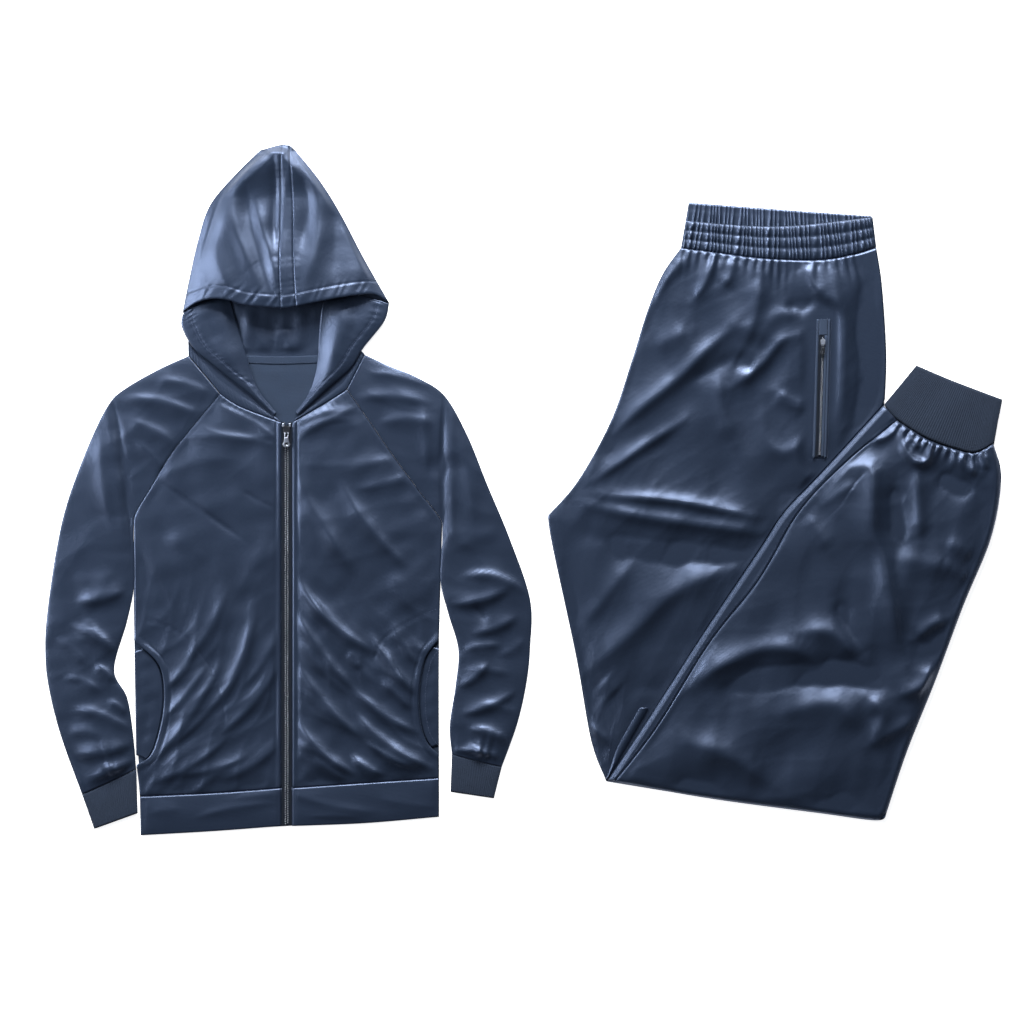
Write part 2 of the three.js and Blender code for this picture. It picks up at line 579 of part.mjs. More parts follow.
const HOOD_FOLDS = [
  { x1: -46, y1: 936, x2: -110, y2: 776, bow: -9, wide: 12, high: 4 },
  { x1: -70, y1: 860, x2: -32, y2: 770, bow: 3, wide: 6, high: -2.4 },
  { x1: -44, y1: 880, x2: -14, y2: 786, bow: 3, wide: 7, high: 3 },
  { x1: -22, y1: 915, x2: -9, y2: 750, bow: 4, wide: 7, high: -3.4 },
  { x1: 22, y1: 922, x2: 22, y2: 856, bow: 2, wide: 9, high: -4 },
  { x1: 18, y1: 930, x2: 26, y2: 764, bow: 18, wide: 9, high: 4 },
  { x1: 96, y1: 856, x2: 108, y2: 764, bow: 6, wide: 14, high: 2 },
];

function hood() {
  const neckY = NECK_BACK.y + 1;
  const backPlace = patch({
    west: chain([
      { line: line([[-NECK_BACK.x, neckY], [-120, 690], [-146, 722]]), share: 0.3 },
      { line: line(HOOD_OUTLINE.left), share: 0.7 },
    ]),
    east: chain([
      { line: line([[NECK_BACK.x, neckY], [118, 690], [143, 735]]), share: 0.3 },
      { line: line(HOOD_OUTLINE.right), share: 0.7 },
    ]),
    south: line([[-NECK_BACK.x, neckY], [0, neckY - 1.8], [NECK_BACK.x, neckY]]),
    north: line([[-37, 949], [-5, 957], [12, 949]]),
  });
  add(jacket, 'hood_back', sheet({ across: 5, along: 14, place: backPlace, top: () => WALL }), CLOTH);

  for (const [name, rows] of Object.entries(HOOD_SIDES)) {
    const side = SIDES[name];
    const edge = byRow(rows, 'edgeX', 'edgeY');
    const fold = byRow(rows, 'foldX', 'foldY');
    const column = (key, t) => byRow(rows.map((row, i) => ({ i, value: row[key] })), 'i', 'value')(t).y;
    const place = (s, t) => {
      const point = edge(t).lerp(fold(t), s);
      point.y += column('bow', t) * 4 * s * (1 - s);
      return point;
    };
    const top = (point, s, t) => {
      const flap = mix(HOOD_FLAP.edge, HOOD_FLAP.fold, ease(0.5, 1, s));
      return flap + column('high', t) * Math.sin(Math.PI * s);
    };
    add(jacket, `hood_side_${name}`, sheet({ across: 5, along: 11, place, top }), CLOTH);

    // The hood's foot stands outside that fold, from the neck seam to under the turned hem.
    const { neck } = frontEdges(side);
    const { inX, inY, outX, outY } = side.sleeve[0];
    const sleeveEnd = moved(line([[inX, inY], [outX, outY]]), side.sign * -0.4, 1);
    const neckRun = chain([
      { line: moved(reversed(neck), 0, 1), share: 0.62 },
      { line: sleeveEnd, share: 0.38 },
    ]);
    const reach = HOOD_FOOT[name] / (rows.length - 1);
    const footPlace = (s, t) => {
      const under = place(0.12, Math.max(0.02, t * reach));
      return neckRun(t).lerp(under, s);
    };
    const footTop = () => FRONT_UNDER + WALL;
    const foot = { across: 2, along: 13, place: footPlace, top: footTop };
    add(jacket, `hood_foot_${name}`, sheet(foot), CLOTH);
  }

  const outlines = Object.values(HOOD_OUTLINE).map((pairs) => sampled(line(pairs), 20));
  const crownTop = (point) => {
    const inside = Math.min(...outlines.map((run) => distance(point, run)));
    const upward = clamp((point.y - 730) / 225, 0, 1);
    const rise = HOOD_RISE * (1 - Math.exp(-inside / 30)) * mix(1, 0.35, upward);
    const free = ease(0, 14, inside) * (1 - ease(925, 950, point.y));
    return FRONT_UNDER + WALL + rise + foldHeight(HOOD_FOLDS, point) * free;
  };
  const crown = (name, across, west, east, south, north) => {
    const place = patch({ west, east, south, north });
    add(jacket, name, sheet({ across, along: 11, place, top: crownTop }), CLOTH);
  };
  const seams = { left: line(HOOD_SEAMS.left), right: line(HOOD_SEAMS.right) };
  const join = (from, to) => line([from.toArray(), to.toArray()]);
  const leftOut = line(HOOD_OUTLINE.left);
  crown('hood_crown_left', 8, leftOut, seams.left, line(BRIM.left), join(leftOut(1), seams.left(1)));
  const stripWest = moved(seams.left, SEAM, 0);
  const stripEast = moved(seams.right, -SEAM, 0);
  crown('hood_strip', 3, stripWest, stripEast, line(BRIM.middle), join(stripWest(1), stripEast(1)));
  const rightOut = line(HOOD_OUTLINE.right);
  const rightSeam = moved(seams.right, SEAM, 0);
  crown('hood_crown_right', 8, rightOut, rightSeam, line(BRIM.right), join(rightOut(1), rightSeam(1)));
}

// Zips. A slider carries a bail, and the pull's top bar turns inside it.

const SLIDER = { wide: 9, long: 13, high: 2.4 };
const PULL = { bar: 1.4, neck: 6, wide: 10.3, long: 19.6, arm: 1.3, eye: 6 };
const BAIL = { wide: 2, inside: 1.3, wall: 1 };

function slab(outline, holes, high) {
  const shape = new THREE.Shape(outline.map(([x, y]) => new THREE.Vector2(x, y)));
  shape.holes = holes.map((hole) => new THREE.Path(hole.map(([x, y]) => new THREE.Vector2(x, y))));
  return new THREE.ExtrudeGeometry(shape, { depth: high, bevelEnabled: false });
}

// Both pieces are drawn about the pull's bar at the origin, pointing down to -y.
function sliderSolid(size) {
  const low = -(PULL.bar / 2 + 0.3) * size;
  const half = (SLIDER.wide / 2) * size;
  const near = -2.6 * size;
  const far = near + SLIDER.long * size;
  const body = slab([
    [-half * 0.7, near], [half * 0.7, near], [half, near + 5 * size], [half, far - 1.5 * size],
    [half * 0.6, far], [-half * 0.6, far], [-half, far - 1.5 * size], [-half, near + 5 * size],
  ], [], SLIDER.high * size).translate(0, 0, low - SLIDER.high * size);
  const side = (BAIL.wide / 2) * size;
  const inside = BAIL.inside * size;
  const outside = (BAIL.inside + BAIL.wall) * size;
  const leg = (from, to) => boxAt(-side, side, from, to, low - 0.2, outside);
  const bridge = boxAt(-side, side, -outside, outside, inside, outside);
  return joined([body, leg(-outside, -inside), leg(inside, outside), bridge]);
}

function pullSolid(size) {
  const [bar, neck, wide] = [PULL.bar / 2, PULL.neck / 2, PULL.wide / 2].map((value) => value * size);
  const [long, arm, eye] = [PULL.long, PULL.arm, PULL.eye].map((value) => value * size);
  const outline = [
    [-neck, bar], [-neck, -eye * 1.6], [-wide, -long * 0.8], [-wide * 0.75, -long + bar],
    [wide * 0.75, -long + bar], [wide, -long * 0.8], [neck, -eye * 1.6], [neck, bar],
  ];
  const eyeHole = [[-neck + arm, -bar], [neck - arm, -bar], [neck - arm, -eye], [-neck + arm, -eye]];
  const lowHole = [
    [-wide * 0.45, -long * 0.66], [wide * 0.45, -long * 0.66], [wide * 0.6, -long * 0.8],
    [wide * 0.4, -long * 0.86], [-wide * 0.4, -long * 0.86], [-wide * 0.6, -long * 0.8],
  ];
  return slab(outline, [eyeHole, lowHole], PULL.bar * size).translate(0, 0, (-PULL.bar / 2) * size);
}

function zipHardware(garment, names, size, at, slant) {
  for (const [name, solid] of [[names.slider, sliderSolid(size)], [names.pull, pullSolid(size)]]) {
    const mesh = add(garment, name, solid, METAL);
    mesh.position.copy(at);
    mesh.rotation.z = slant;
  }
}

function frontZip() {
  const { tape, chain: teeth, chainLow, chainHigh, tapeLow, tapeHigh } = ZIP;
  add(jacket, 'zip_tape_left', boxAt(-tape, -teeth - 0.3, 1, ZIP_TOP, tapeLow, tapeHigh), TAPE);
  add(jacket, 'zip_tape_right', boxAt(teeth + 0.3, tape, 1, ZIP_TOP, tapeLow, tapeHigh), TAPE);
  add(jacket, 'zip_chain', boxAt(-teeth, teeth, 0, ZIP_TOP - 3, chainLow, chainHigh), METAL);
  const barHigh = chainHigh + 0.3 + SLIDER.high + PULL.bar / 2 + 0.3;
  const names = { slider: 'zip_slider', pull: 'zip_pull' };
  zipHardware(jacket, names, 1, new THREE.Vector3(0, ZIP_TOP - 15.5, barHigh), 0);
}

// Joggers outlines. x runs from the crotch to the right, y up. They lie folded in half down
// the middle, one leg on the other, and both legs are folded up across the hip at the knee.

const LEG = {
  rise: [[188, 379], [162, 342], [141, 291], [119, 221], [90, 137], [44, 53], [1, 3]],
  inseam: [[1, 3], [8, -41], [41, -195], [62, -312], [83, -368]],
  outseam: [[462, 379], [470, 326], [476, 232], [474, 165]],
  knee: [[83, -370], [226, -393], [382, -414], [462, -424], [476, -414]],
  hipHidden: [[462, -300], [470, 0], [474, 165]],
  bandOuter: [[86, -367], [148, -273], [226, -152], [298, -45], [333, 8], [382, 60], [472, 158]],
  bandInner: [[95, -369], [155, -291], [226, -177], [298, -84], [351, 6], [413, 73], [490, 137]],
  foldedSide: [[476, -414], [505, -327], [544, -230], [584, -123], [623, -27], [637, 56], [626, 104]],
  ankle: [[472, 158], [490, 137], [531, 111], [572, 96], [600, 91], [626, 104]],
  cuffEnd: [[518, 214], [570, 192], [639, 166]],
};
const WAIST_LINES = {
  seam: [[188, 379], [237, 373], [300, 365], [380, 363], [430, 371], [462, 381]],
  front: [[195, 417], [260, 411], [330, 409], [400, 415], [457, 422]],
  back: [[199, 443], [291, 436], [371, 430], [456, 424]],
};
const LEG_FOLDS = [
  { x1: 216, y1: 374, x2: 134, y2: 262, bow: 6, wide: 8, high: 4 },
  { x1: 236, y1: 372, x2: 196, y2: 302, bow: 4, wide: 7, high: 3.4 },
  { x1: 258, y1: 366, x2: 242, y2: 318, bow: 0, wide: 7, high: 3 },
  { x1: 288, y1: 364, x2: 274, y2: 228, bow: -3, wide: 12, high: 4.6 },
  { x1: 262, y1: 322, x2: 128, y2: 142, bow: 10, wide: 13, high: 5 },
  { x1: 254, y1: 234, x2: 128, y2: 114, bow: 6, wide: 10, high: -3 },
  { x1: 196, y1: 132, x2: 68, y2: 46, bow: 4, wide: 9, high: 4.4 },
  { x1: 254, y1: 184, x2: 328, y2: 236, bow: -8, wide: 9, high: 4 },
  { x1: 296, y1: 284, x2: 352, y2: 258, bow: 8, wide: 8, high: 3.6 },
  { x1: 316, y1: 186, x2: 374, y2: 150, bow: -5, wide: 8, high: 3.4 },
  { x1: 294, y1: 168, x2: 310, y2: 92, bow: -3, wide: 10, high: 4 },
  { x1: 312, y1: 90, x2: 368, y2: 134, bow: -6, wide: 9, high: 3.6 },
  { x1: 340, y1: 362, x2: 352, y2: 318, bow: 3, wide: 8, high: 3.4 },
  { x1: 408, y1: 360, x2: 434, y2: 136, bow: 5, wide: 11, high: 4.2 },
  { x1: 438, y1: 364, x2: 452, y2: 176, bow: 4, wide: 9, high: -2.4 },
  { x1: 54, y1: 28, x2: 298, y2: 2, bow: 6, wide: 14, high: 5 },
  { x1: 48, y1: -28, x2: 290, y2: -56, bow: -8, wide: 14, high: -2.6 },
  { x1: 46, y1: -224, x2: 236, y2: -82, bow: 10, wide: 20, high: 4 },
  { x1: 64, y1: -288, x2: 98, y2: -326, bow: -4, wide: 6, high: 2.6 },
];
const FOLDED_FOLDS = [
  { x1: 452, y1: 84, x2: 456, y2: -30, bow: 2, wide: 11, high: 4.6 },
  { x1: 462, y1: -30, x2: 508, y2: -212, bow: -4, wide: 13, high: 5 },
  { x1: 528, y1: 80, x2: 520, y2: -28, bow: -5, wide: 10, high: 4 },
  { x1: 566, y1: 84, x2: 584, y2: 26, bow: 4, wide: 10, high: -2.6 },
  { x1: 588, y1: -36, x2: 524, y2: -50, bow: -5, wide: 9, high: 3.4 },
  { x1: 362, y1: -190, x2: 438, y2: -194, bow: 8, wide: 11, high: 3.6 },
  { x1: 350, y1: -222, x2: 500, y2: -226, bow: -6, wide: 10, high: -2.8 },
  { x1: 480, y1: -256, x2: 546, y2: -208, bow: -6, wide: 9, high: 4 },
  { x1: 344, y1: -274, x2: 466, y2: -284, bow: 8, wide: 20, high: 4.4 },
  { x1: 210, y1: -234, x2: 360, y2: -196, bow: 8, wide: 12, high: 3.6 },
  { x1: 176, y1: -320, x2: 300, y2: -338, bow: 6, wide: 16, high: 3.4 },
  { x1: 604, y1: 80, x2: 616, y2: 40, bow: 2, wide: 8, high: 3 },
  { x1: 496, y1: 116, x2: 486, y2: 60, bow: 2, wide: 7, high: 3 },
];

// Levels of the hidden piles: how high each is and how far its edge is drawn in, so that
// a groove parts one layer of cloth from the next.
const LEG_LEVELS = [
  { high: 0, inset: 1.6 }, { high: 1.1, inset: 0.4 }, { high: 2.3, inset: 1.8 }, { high: 3.5, inset: 0.4 },
  { high: 4.7, inset: 1.8 }, { high: 5.9, inset: 0.4 }, { high: STACK.leg, inset: 1.6 },
];
const FOLDED_LEVELS = [
  { high: 0, inset: 2.6 }, { high: 1, inset: 1.4 }, { high: 4.2, inset: 1 }, { high: 4.6, inset: 2.4 },
  { high: 5, inset: 1 }, { high: 8.8, inset: 1 }, { high: STACK.folded, inset: 12 },
];
const CUFF_LEVELS = [{ high: 0, inset: 1.4 }, { high: 0.8, inset: 0.5 }, { high: STACK.cuff, inset: 0.6 }];

const LEG_UNDER = STACK.leg + LIE;
const FOLDED_EDGE = 9.4; // underside of the folded leg where it turns down at its sides
const FOLDED_UNDER = STACK.folded + LIE;
const KNEE_STEP = 0.012; // the first row of a panel lies this close to the knee's fold
const ANKLE_CUFF_HIGH = 13.2;

const legEdges = {
  west: chain([
    { line: reversed(line(LEG.inseam)), share: 0.46 },
    { line: reversed(line(LEG.rise)), share: 0.54 },
  ]),
  east: chain([
    { line: moved(line(LEG.bandOuter), -SEAM, 0.3), share: 0.75 },
    { line: reversed(line(LEG.outseam)), share: 0.25 },
  ]),
};
const legRuns = [sampled(legEdges.west, 40), sampled(legEdges.east, 30), sampled(line(WAIST_LINES.seam), 10)];
const POCKET_LINE = { top: new THREE.Vector2(387, 256), low: new THREE.Vector2(382, 84), lie: 0.9 };
const pocketRun = [POCKET_LINE.top.clone().add(new THREE.Vector2(0.6, 22)), POCKET_LINE.low];
const stripRun = [new THREE.Vector2(141, -266), new THREE.Vector2(84, -366)];

function legTop(point) {
  const [fromWest, fromEast, fromWaist] = legRuns.map((run) => distance(point, run));
  const inside = Math.min(fromWest, fromEast, fromWaist);
  const clear = ease(18, 40, distance(point, pocketRun)) * ease(14, 34, distance(point, stripRun));
  const free = ease(0, 10, fromWest) * ease(0, 12, fromEast) * ease(0, 6, fromWaist) * clear;
  const raised = 3 * ease(0, 40, inside) + foldHeight(LEG_FOLDS, point) * free;
  return LEG_UNDER + WALL + Math.max(0, raised);
}

const foldedRuns = [LEG.bandOuter, LEG.knee, LEG.foldedSide].map((pairs) => sampled(line(pairs), 24));

function foldedTop(point) {
  const inside = Math.min(...foldedRuns.map((run) => distance(point, run)));
  const under = mix(FOLDED_EDGE, FOLDED_UNDER, clamp(inside / 6, 0, 1));
  const fromBand = distance(point, foldedRuns[0]);
  const free = ease(4, 22, inside) * ease(18, 34, fromBand);
  return under + WALL + Math.max(0, 3.4 * ease(6, 60, inside) + foldHeight(FOLDED_FOLDS, point) * free);
}

function hiddenLayers() {
  const points = (pairs, count) => sampled(line(pairs), count);
  const waist = sampled(moved(reversed(line(WAIST_LINES.seam)), 0, -2 * SEAM), 6);
  const hip = [
    ...points(LEG.knee.slice(0, 4), 4),
    ...points(LEG.hipHidden, 3).slice(0, 3),
    ...points([...LEG.outseam].reverse(), 4).slice(0, 4),
    ...waist,
    ...points(LEG.rise, 12).slice(1),
    ...points(LEG.inseam, 6).slice(1, 6),
  ];
  const side = points(LEG.foldedSide, 20).slice(1);
  const folded = [
    ...points(LEG.knee, 12).slice(0, 12),
    ...side.filter((_, i) => i % 2 === 0 || i === side.length - 1),
    ...points([...LEG.ankle].reverse(), 7).slice(1),
    ...points([...LEG.bandOuter].reverse(), 12).slice(1, 12),
  ];
  const cuffs = [
    ...points(LEG.cuffEnd, 4).reverse(), new THREE.Vector2(482, 166), new THREE.Vector2(480, 128),
    new THREE.Vector2(531, 95), new THREE.Vector2(600, 74), new THREE.Vector2(626, 92),
  ];
  const piles = [pile(hip, LEG_LEVELS), pile(folded, FOLDED_LEVELS), pile(cuffs, CUFF_LEVELS)];
  add(joggers, 'hidden_layers', joined(piles), CLOTH);
}

function legs() {
  const place = patch({
    west: legEdges.west,
    east: legEdges.east,
    south: line([legEdges.west(0).toArray(), legEdges.east(0).toArray()]),
    north: moved(line(WAIST_LINES.seam), 0, -SEAM),
  });
  add(joggers, 'leg_front', sheet({ across: 14, along: 22, place, top: legTop }), CLOTH);

  const band = { west: line(LEG.bandOuter), east: line(LEG.bandInner) };
  const span = (t) => line([band.west(t).toArray(), band.east(t).toArray()]);
  const bandPlace = patch({ ...band, south: span(0), north: span(1) });
  const bandRows = steps(14, KNEE_STEP);
  const bandSheet = { across: 4, along: bandRows, place: bandPlace, top: foldedTop };
  add(joggers, 'side_band', sheet(bandSheet), CLOTH);

  const innerWest = moved(band.east, SEAM + 0.2, -0.4);
  const ankle = line([innerWest(1).toArray(), ...LEG.ankle.slice(2)]);
  const knee = line([innerWest(0).toArray(), ...LEG.knee.slice(1)]);
  const lowPlace = patch({ west: innerWest, east: line(LEG.foldedSide), south: knee, north: ankle });
  const columns = steps(13, 0.06, 0.04);
  const lowRows = steps(16, KNEE_STEP);
  const lowSheet = { across: columns, along: lowRows, place: lowPlace, top: foldedTop };
  add(joggers, 'leg_folded', sheet(lowSheet), CLOTH);

  // The other leg's fold, which shows beside the band near the knee.
  const [high, low] = stripRun;
  const stripWide = (v) => mix(3, 12, ease(0, 0.5, v));
  const stripPlace = (u, v) => {
    const point = low.clone().lerp(high, v);
    return point.add(new THREE.Vector2((u - 1) * stripWide(v) + 1, 0));
  };
  const stripTop = (point, u) => legTop(point) + LIE + WALL + 1.6 * Math.sin(Math.PI * u);
  const strip = { across: 4, along: 8, place: stripPlace, top: stripTop };
  add(joggers, 'under_leg_edge', sheet(strip), CLOTH);

  const seamLine = line(LEG.ankle);
  const endLine = line(LEG.cuffEnd);
  const cuffPlace = (a, t) => {
    const along = (1 - a) / 2;
    return seamLine(along).lerp(endLine(along), mix(0.014, 1, t));
  };
  const levels = { top: () => ANKLE_CUFF_HIGH, rest: STACK.cuff + LIE };
  const cuff = { upper: 12, lower: 8, along: 3, place: cuffPlace, ...levels };
  add(joggers, 'ankle_cuff', flatTube({ ...cuff, open: () => 0, thick: RIB_WALL }), RIB);
}

// The waistband is an elastic casing, gathered and stitched in channels.
function waistband() {
  const { gathers, deep, low, channels } = WAIST;
  const columns = 2 * gathers;
  const gathered = (base) => (point, u, v) => {
    const crest = Math.round(u * columns) % 2 ? deep : 0;
    const bulge = Math.abs(Math.sin(Math.PI * v * channels));
    return base + crest * (0.55 + 0.45 * bulge) + 0.7 * bulge;
  };
  const rows = { back: 1, front: 2 * channels };
  const seam = line(WAIST_LINES.seam);
  const levels = { back: low, front: low + deep + 0.7 + LIE + low };
  for (const name of ['back', 'front']) {
    const upper = line(WAIST_LINES[name]);
    const span = (t) => line([seam(t).toArray(), upper(t).toArray()]);
    const place = patch({ west: span(0), east: span(1), south: seam, north: upper });
    const band = { across: columns, along: rows[name], place, top: gathered(levels[name]), thick: low };
    add(joggers, `waistband_${name}`, sheet(band), CLOTH);
  }
}

// The zipped pocket: its pieces lie on the leg along one slightly slanted line.
const POCKET_PIECES = [
  { name: 'pocket_welt_left', from: -9.5, to: -6.1, start: 0, end: 1.13, high: 1.2, finish: CLOTH },
  { name: 'pocket_zip_tape', from: -5.7, to: -2.3, start: 0.01, end: 1, high: 1, finish: TAPE },
  { name: 'pocket_zip_chain', from: -1.9, to: 1.9, start: 0.01, end: 1, high: 1.8, finish: METAL },
  { name: 'pocket_zip_flap', from: 2.3, to: 6.1, start: 0.01, end: 1, high: 1.2, finish: CLOTH },
  { name: 'pocket_welt_right', from: 6.5, to: 9.5, start: 0, end: 1.13, high: 1.2, finish: CLOTH },
  { name: 'pocket_top_patch', from: -5.7, to: 6.1, start: 1.005, end: 1.13, high: 1.2, finish: CLOTH },
];

const POCKET_SLIDER = { size: 0.72, at: 0.925 }; // against the front zip's, and its share of the line

function pocketZip() {
  const { top, low } = POCKET_LINE;
  for (const { name, from, to, start, end, high, finish } of POCKET_PIECES) {
    const place = (u, v) => {
      const point = low.clone().lerp(top, mix(start, end, v));
      return point.add(new THREE.Vector2(mix(from, to, u), 0));
    };
    const over = (point) => legTop(point) + POCKET_LINE.lie + high;
    add(joggers, name, sheet({ across: 1, along: 8, place, top: over, thick: high }), finish);
  }
  const { size, at: share } = POCKET_SLIDER;
  const at = low.clone().lerp(top, share);
  const chain = POCKET_PIECES.find(({ name }) => name === 'pocket_zip_chain');
  const chainTop = legTop(at) + POCKET_LINE.lie + chain.high;
  const barHigh = chainTop + 0.3 + (SLIDER.high + PULL.bar / 2 + 0.3) * size;
  const slant = Math.atan2(low.x - top.x, top.y - low.y);
  const names = { slider: 'pocket_slider', pull: 'pocket_pull' };
  zipHardware(joggers, names, size, new THREE.Vector3(at.x, at.y, barHigh), slant);
}

jacketBack();
for (const [name, side] of Object.entries(SIDES)) {
  jacketFront(name, side);
  sleeve(name, side);
}
hood();
frontZip();
hiddenLayers();
legs();
waistband();
pocketZip();

const group = new THREE.Group();
group.add(jacket, joggers);

export default group;
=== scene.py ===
"""A hooded zip jacket and a pair of joggers laid flat side by side on a pale floor.

Shapes are worked out in millimetres in each garment's own plan (x to the right, y towards the
hood or the waistband, z up) and are put into metres when they become meshes.
"""

import math

import bmesh
import bpy
import numpy as np
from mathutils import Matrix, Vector


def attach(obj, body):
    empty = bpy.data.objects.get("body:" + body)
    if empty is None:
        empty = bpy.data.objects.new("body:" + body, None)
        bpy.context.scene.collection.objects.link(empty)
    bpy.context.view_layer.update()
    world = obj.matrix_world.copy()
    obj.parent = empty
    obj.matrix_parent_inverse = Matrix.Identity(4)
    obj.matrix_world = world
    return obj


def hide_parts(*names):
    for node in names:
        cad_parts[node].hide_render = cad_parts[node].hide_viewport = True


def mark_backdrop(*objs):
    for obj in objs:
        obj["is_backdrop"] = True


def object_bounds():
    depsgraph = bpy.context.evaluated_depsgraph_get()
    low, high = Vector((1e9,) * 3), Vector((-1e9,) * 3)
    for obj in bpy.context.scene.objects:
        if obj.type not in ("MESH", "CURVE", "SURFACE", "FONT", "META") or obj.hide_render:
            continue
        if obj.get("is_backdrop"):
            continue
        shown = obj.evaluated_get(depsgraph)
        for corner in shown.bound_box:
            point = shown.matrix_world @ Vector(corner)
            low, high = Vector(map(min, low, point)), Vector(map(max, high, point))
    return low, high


bl_info = {
    "name": "Sweatshirt and Jogger Set",
    "version": (1, 0, 0),
    "blender": (4, 5, 0),
    "location": "View3D > Sidebar > Clothing Set",
    "description": "Hooded zip jacket and joggers laid flat, with seams, stitches, zips and folds",
    "category": "Add Mesh",
}

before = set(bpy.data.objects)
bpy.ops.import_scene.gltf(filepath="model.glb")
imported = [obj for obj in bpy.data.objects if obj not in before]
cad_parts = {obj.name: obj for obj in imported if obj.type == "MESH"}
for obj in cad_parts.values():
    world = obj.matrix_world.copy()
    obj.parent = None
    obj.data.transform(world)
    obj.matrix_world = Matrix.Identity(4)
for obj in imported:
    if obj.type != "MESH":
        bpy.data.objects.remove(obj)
CAD_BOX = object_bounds()

MM = 0.001
CLOTH_BODY = "cloth"

# Sizes in millimetres. Each garment's own plan starts at its AT in the frame.
WALL = 1.6
RIB_WALL = 2.2
SEAM = 0.08
LIE = 0.4
JACKET_AT = np.array([-332.5, -472.5])
JOGGERS_AT = np.array([32.9, -39.9])
FRONT_UNDER = WALL + LIE
SLEEVE_HIGH = 5.2
TUBE_EDGE = 3.0
CUFF_HIGH = 5.8
ANKLE_CUFF_HIGH = 13.2
ZIP_TOP = 567.0
FRONT_EDGE = 8.0
HEM_TOP_FRONT = 53.0
HEM_TOP_BACK = 54.0
NECK_BACK = (62.0, 655.0)
ARMPIT_ROW = 4
HOOD_RISE = 18.9
HOOD_FLAP_EDGE = 6.2
HOOD_FLAP_FOLD = 3.8
HOOD_HEM_STITCHES = (14.4, 17.6)
HEM_STITCH = 18.0
LEG_PILE = 7.0
FOLDED_PILE = 14.2
CUFF_PILE = 6.3
LEG_UNDER = LEG_PILE + LIE
FOLDED_EDGE = 9.4
FOLDED_UNDER = FOLDED_PILE + LIE
WAIST = {"gathers": 42, "low": 3.2, "deep": 1.2, "swell": 0.7, "channels": 3}

# Lowest undersides: of the fronts and pocket bags, and of the hem bands and the hood's foot
FRONT_CLEAR = 1.75
EDGE_CLEAR = 1.9
NECK_TAPE = {"high": 2.1, "thick": 0.5, "clear": 1.62}
CUFF_START = 0.014

# Zip teeth: how far each row lies off the middle, and a tooth's size across, along and high
FRONT_TEETH = {"half": 1.65, "size": (2.1, 1.2, 1.7)}
POCKET_TEETH = {"half": 0.7, "size": (1.3, 1.0, 1.3)}
FRONT_TEETH_LEVEL = 3.55
ZIP_STOP = {"x": 4.6, "half": 1.3, "y": (560.5, 565.5), "z": (3.52, 4.9)}


# Curves and plan patches


def ease(low, high, value):
    """Smooth step: 3 t^2 - 2 t^3, with t the share of the way from low to high."""
    t = np.clip((value - low) / (high - low), 0, 1)
    return t * t * (3 - 2 * t)


def mix(first, last, share):
    return first + (last - first) * share


def spline(rows, count=480):
    """A Catmull-Rom curve through the rows, its end rows repeated, at equal steps of row."""
    rows = np.asarray(rows, float)
    last = len(rows) - 1
    step = np.linspace(0, last, count + 1)
    at = np.minimum(step.astype(int), last - 1)
    w = (step - at)[:, None]
    before, here = rows[np.maximum(at - 1, 0)], rows[at]
    there, after = rows[at + 1], rows[np.minimum(at + 2, last)]
    v0, v1 = (there - before) / 2, (after - here) / 2
    cubic = (2 * here - 2 * there + v0 + v1) * w**3
    return cubic + (3 * there - 3 * here - 2 * v0 - v1) * w**2 + v0 * w + here


def looked_up(steps, points):
    """The function of t that reads the points between the given steps."""

    def path(t):
        t = np.clip(t, 0, 1)
        return np.stack([np.interp(t, steps, points[:, k]) for k in range(points.shape[1])], -1)

    return path


def by_row(rows):
    """A smooth line through the rows; t runs by row."""
    points = spline(rows)
    return looked_up(np.linspace(0, 1, len(points)), points)


def line(rows):
    """A smooth line through the rows; t runs by length."""
    points = spline(rows)
    length = np.append(0, np.cumsum(np.linalg.norm(np.diff(points, axis=0), axis=1)))
    return looked_up(length / length[-1], points)


def chain(*parts):
    """Lines joined end to end, each given with its share of t."""

    def path(t):
        t = np.asarray(t, float)
        out = np.zeros(t.shape + (2,))
        start = 0.0
        for index, (part, share) in enumerate(parts):
            last = index == len(parts) - 1
            here = (t > start - 1e-9) & ((t <= start + share + 1e-9) | last)
            out[here] = part(np.clip((t[here] - start) / share, 0, 1))
            start += share
        return out

    return path


def moved(path, x, y):
    return lambda t: path(t) + np.array([x, y])


def backwards(path):
    return lambda t: path(1 - np.asarray(t, float))


def join(first, last):
    """The straight line between two points."""
    first, last = np.asarray(first, float), np.asarray(last, float)
    return lambda t: first + (last - first) * np.asarray(t, float)[..., None]


def patch(west, east, south, north):
    """The Coons patch: ruled(u) + ruled(v) - the bilinear mix of the corners."""
    corners = [south(np.array(0.0)), south(np.array(1.0)), north(np.array(0.0)), north(np.array(1.0))]

    def place(u, v):
        u, v = np.broadcast_arrays(u, v)
        s, t = u[..., None], v[..., None]
        ruled = mix(west(v), east(v), s) + mix(south(u), north(u), t)
        low = mix(corners[0], corners[1], s)
        high = mix(corners[2], corners[3], s)
        return ruled - mix(low, high, t)

    return place


def sampled(path, count):
    return path(np.linspace(0, 1, count + 1))


def nearest(xy, run):
    """Distance from each point to a run of straight stretches, and how far along it lies."""
    best = np.full(xy.shape[:-1], 1e9)
    along = np.zeros(xy.shape[:-1])
    start = 0.0
    for first, last in zip(run[:-1], run[1:]):
        side = last - first
        length = max(np.linalg.norm(side), 1e-6)
        share = np.clip(((xy - first) @ side) / length**2, 0, 1)
        away = np.linalg.norm(xy - first - share[..., None] * side, axis=-1)
        closer = away < best
        best = np.where(closer, away, best)
        along = np.where(closer, start + share * length, along)
        start += length
    return best, along


def distance(xy, run):
    return nearest(xy, run)[0]


